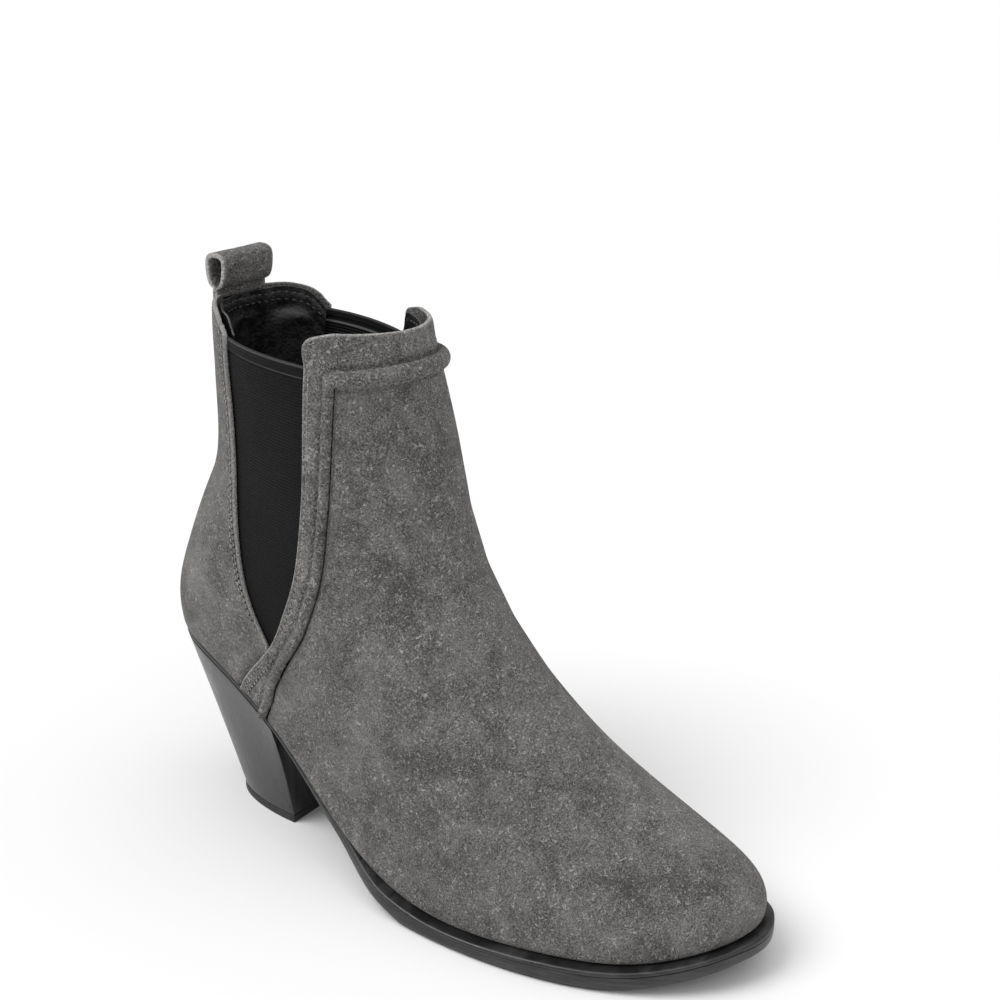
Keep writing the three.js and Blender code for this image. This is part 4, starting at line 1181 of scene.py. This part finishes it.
def make_sewing():
    tree = stitch_tree()
    by_gore = dense(0.345, 0.905, 0.01)
    by_front = dense(0.345, 0.885, 0.01)
    foot = dense(0.035, 0.31, 0.01)
    rim_angle = dense(3, 56, 1.5)
    rim_way = rim_angle / 61.0
    rim_line = back_rim(np.clip(rim_way, 0, 1))
    below = lambda mm: rim_line - mm * levels_per_mm(rim_angle, 0.95)
    quarter = both_sides(gore_rear, by_gore, -2.0, -0.18) + both_sides(gore_rear, by_gore, -3.8, -0.14)
    seam = dense(0.035, 0.96, 0.01)
    for side in (1, -1):
        quarter.append((side * 2.4 * degrees_per_mm(0.0, seam), seam, -0.1, 1))
        quarter.append((side * rim_angle, below(2.4), -0.12, 1))
    strip = both_sides(gore_front, by_front, 1.9, -0.18)
    strip += both_sides(strip_rear, foot, 1.9 - STRIP_LAP, 0.42) + both_sides(strip_rear, foot,
        3.9 - STRIP_LAP, 0.2)
    ditch = both_sides(piping_line, dense(0.035, 0.8, 0.01), PIPING_RADIUS + 0.3, -0.6)
    across = dense(ROLL_END + 7, 353 - ROLL_END, 1.5)
    under_roll = [(across, roll_gap(across, -1) - 0.35 * levels_per_mm(across, 0.87), -0.1, 1)]
    inside = []
    for side in (1, -1):
        for mm in (3.0, 5.8):
            inside.append((side * rim_angle, below(mm), LINING_IN - 0.32 + 0.9 * rim_lean(rim_angle, mm), -1))
    front_in = dense(126, 234, 1.5)
    inside.append((front_in, band_rim(front_in) - 0.009 - 3.0 * levels_per_mm(front_in, 0.93),
        LINING_IN - 0.3, -1))
    sew("quarter_stitches", quarter, tree, GREY_THREAD)
    sew("strip_stitches", strip, tree, GREY_THREAD)
    # the dark beads at each seam's stitch ends are painted shadow in the needle holes
    sew("quarter_hole_shadows", quarter, tree, HOLE_SHADOW, length=0.7, width=0.8, height=0.3,
        start=1.65)
    sew("strip_hole_shadows", strip, tree, HOLE_SHADOW, length=0.7, width=0.85, height=0.3,
        start=1.65)
    sew("ditch_stitches", ditch, tree, DARK_THREAD, pitch=2.5, length=1.7, width=0.42)
    sew("roll_stitches", under_roll, tree, GREY_THREAD, pitch=2.5, length=1.5)
    sew("lining_stitches", inside, tree, DARK_THREAD, pitch=2.6, length=1.9, width=0.6)
    sew("lining_hole_shadows", inside, tree, HOLE_SHADOW, 2.6, 0.6, 0.7, 0.3, 1.8)


# ---- Build
make_vamp()
make_collar()
for is_medial in (False, True):
    make_quarter(is_medial)
make_cords()
RIBS = ribs_tree()
for is_medial in (False, True):
    make_gore(is_medial, RIBS)
make_linings()
make_pad()
make_bottom()
make_heel()
make_pull_strap()
make_sewing()

inner_finishes = {
    "board": ["insole_board", "shank_cover"],
    "stiffener": ["heel_counter", "toe_puff", "back_seam_tape"],
    "cork": ["bottom_filler"],
    "steel": ["shank", "shank_rivet_front", "shank_rivet_rear", "heel_screw"]
    + ["heel_nail_%d" % k for k in (1, 2, 3, 4)],
}
for finish, names in inner_finishes.items():
    for node_name in names:
        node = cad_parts[node_name]
        node.data.materials.clear()
        node.data.materials.append(INNER[finish])

# ---- Floor, light and camera
def plain(name, colour, roughness):
    made = bpy.data.materials.new(name)
    made.use_nodes = True
    shader = made.node_tree.nodes["Principled BSDF"]
    shader.inputs["Base Color"].default_value = colour
    shader.inputs["Roughness"].default_value = roughness
    return made


floor_mesh = bpy.data.meshes.new("floor")
floor_mesh.from_pydata([(-40, -40, 0), (40, -40, 0), (40, 40, 0), (-40, 40, 0)], [], [(0, 1, 2, 3)])
floor = bpy.data.objects.new("floor", floor_mesh)
bpy.context.scene.collection.objects.link(floor)
floor_mesh.materials.append(plain("pale_floor", (0.9, 0.9, 0.9, 1), 0.9))

world = bpy.data.worlds.new("studio")
bpy.context.scene.world = world
world.use_nodes = True
world.node_tree.nodes["Background"].inputs[0].default_value = (1, 1, 1, 1)
world.node_tree.nodes["Background"].inputs[1].default_value = 0.46


def soft_sun(name, direction, strength, softness):
    data = bpy.data.lights.new(name, "SUN")
    data.energy, data.angle = strength, math.radians(softness)
    light = bpy.data.objects.new(name, data)
    light.rotation_mode = "QUATERNION"
    light.rotation_quaternion = (-Vector(direction)).to_track_quat("-Z", "Y")
    bpy.context.scene.collection.objects.link(light)


soft_sun("key", (-0.75, 0.55, 1.25), 1.7, 34)
soft_sun("top", (-0.15, -0.35, 1.0), 0.9, 80)

camera_data = bpy.data.cameras.new("camera")
camera = bpy.data.objects.new("camera", camera_data)
bpy.context.scene.collection.objects.link(camera)
bpy.context.scene.camera = camera
camera_data.sensor_width, camera_data.lens = 36, 56.6
camera_data.clip_start, camera_data.clip_end = 0.02, 50
azimuth, elevation, roll = math.radians(-56.43), math.radians(21.01), math.radians(1.77)
back_dir = Vector((math.sin(azimuth) * math.cos(elevation), -math.cos(azimuth) * math.cos(elevation),
    math.sin(elevation)))
camera.location = Vector((-413.39, -294.83, 339.86)) * MM
camera.rotation_mode = "QUATERNION"
camera.rotation_quaternion = (-back_dir).to_track_quat("-Z", "Y") @ Matrix.Rotation(roll, 4,
    "Z").to_quaternion()

bpy.context.scene.view_settings.view_transform = "Standard"
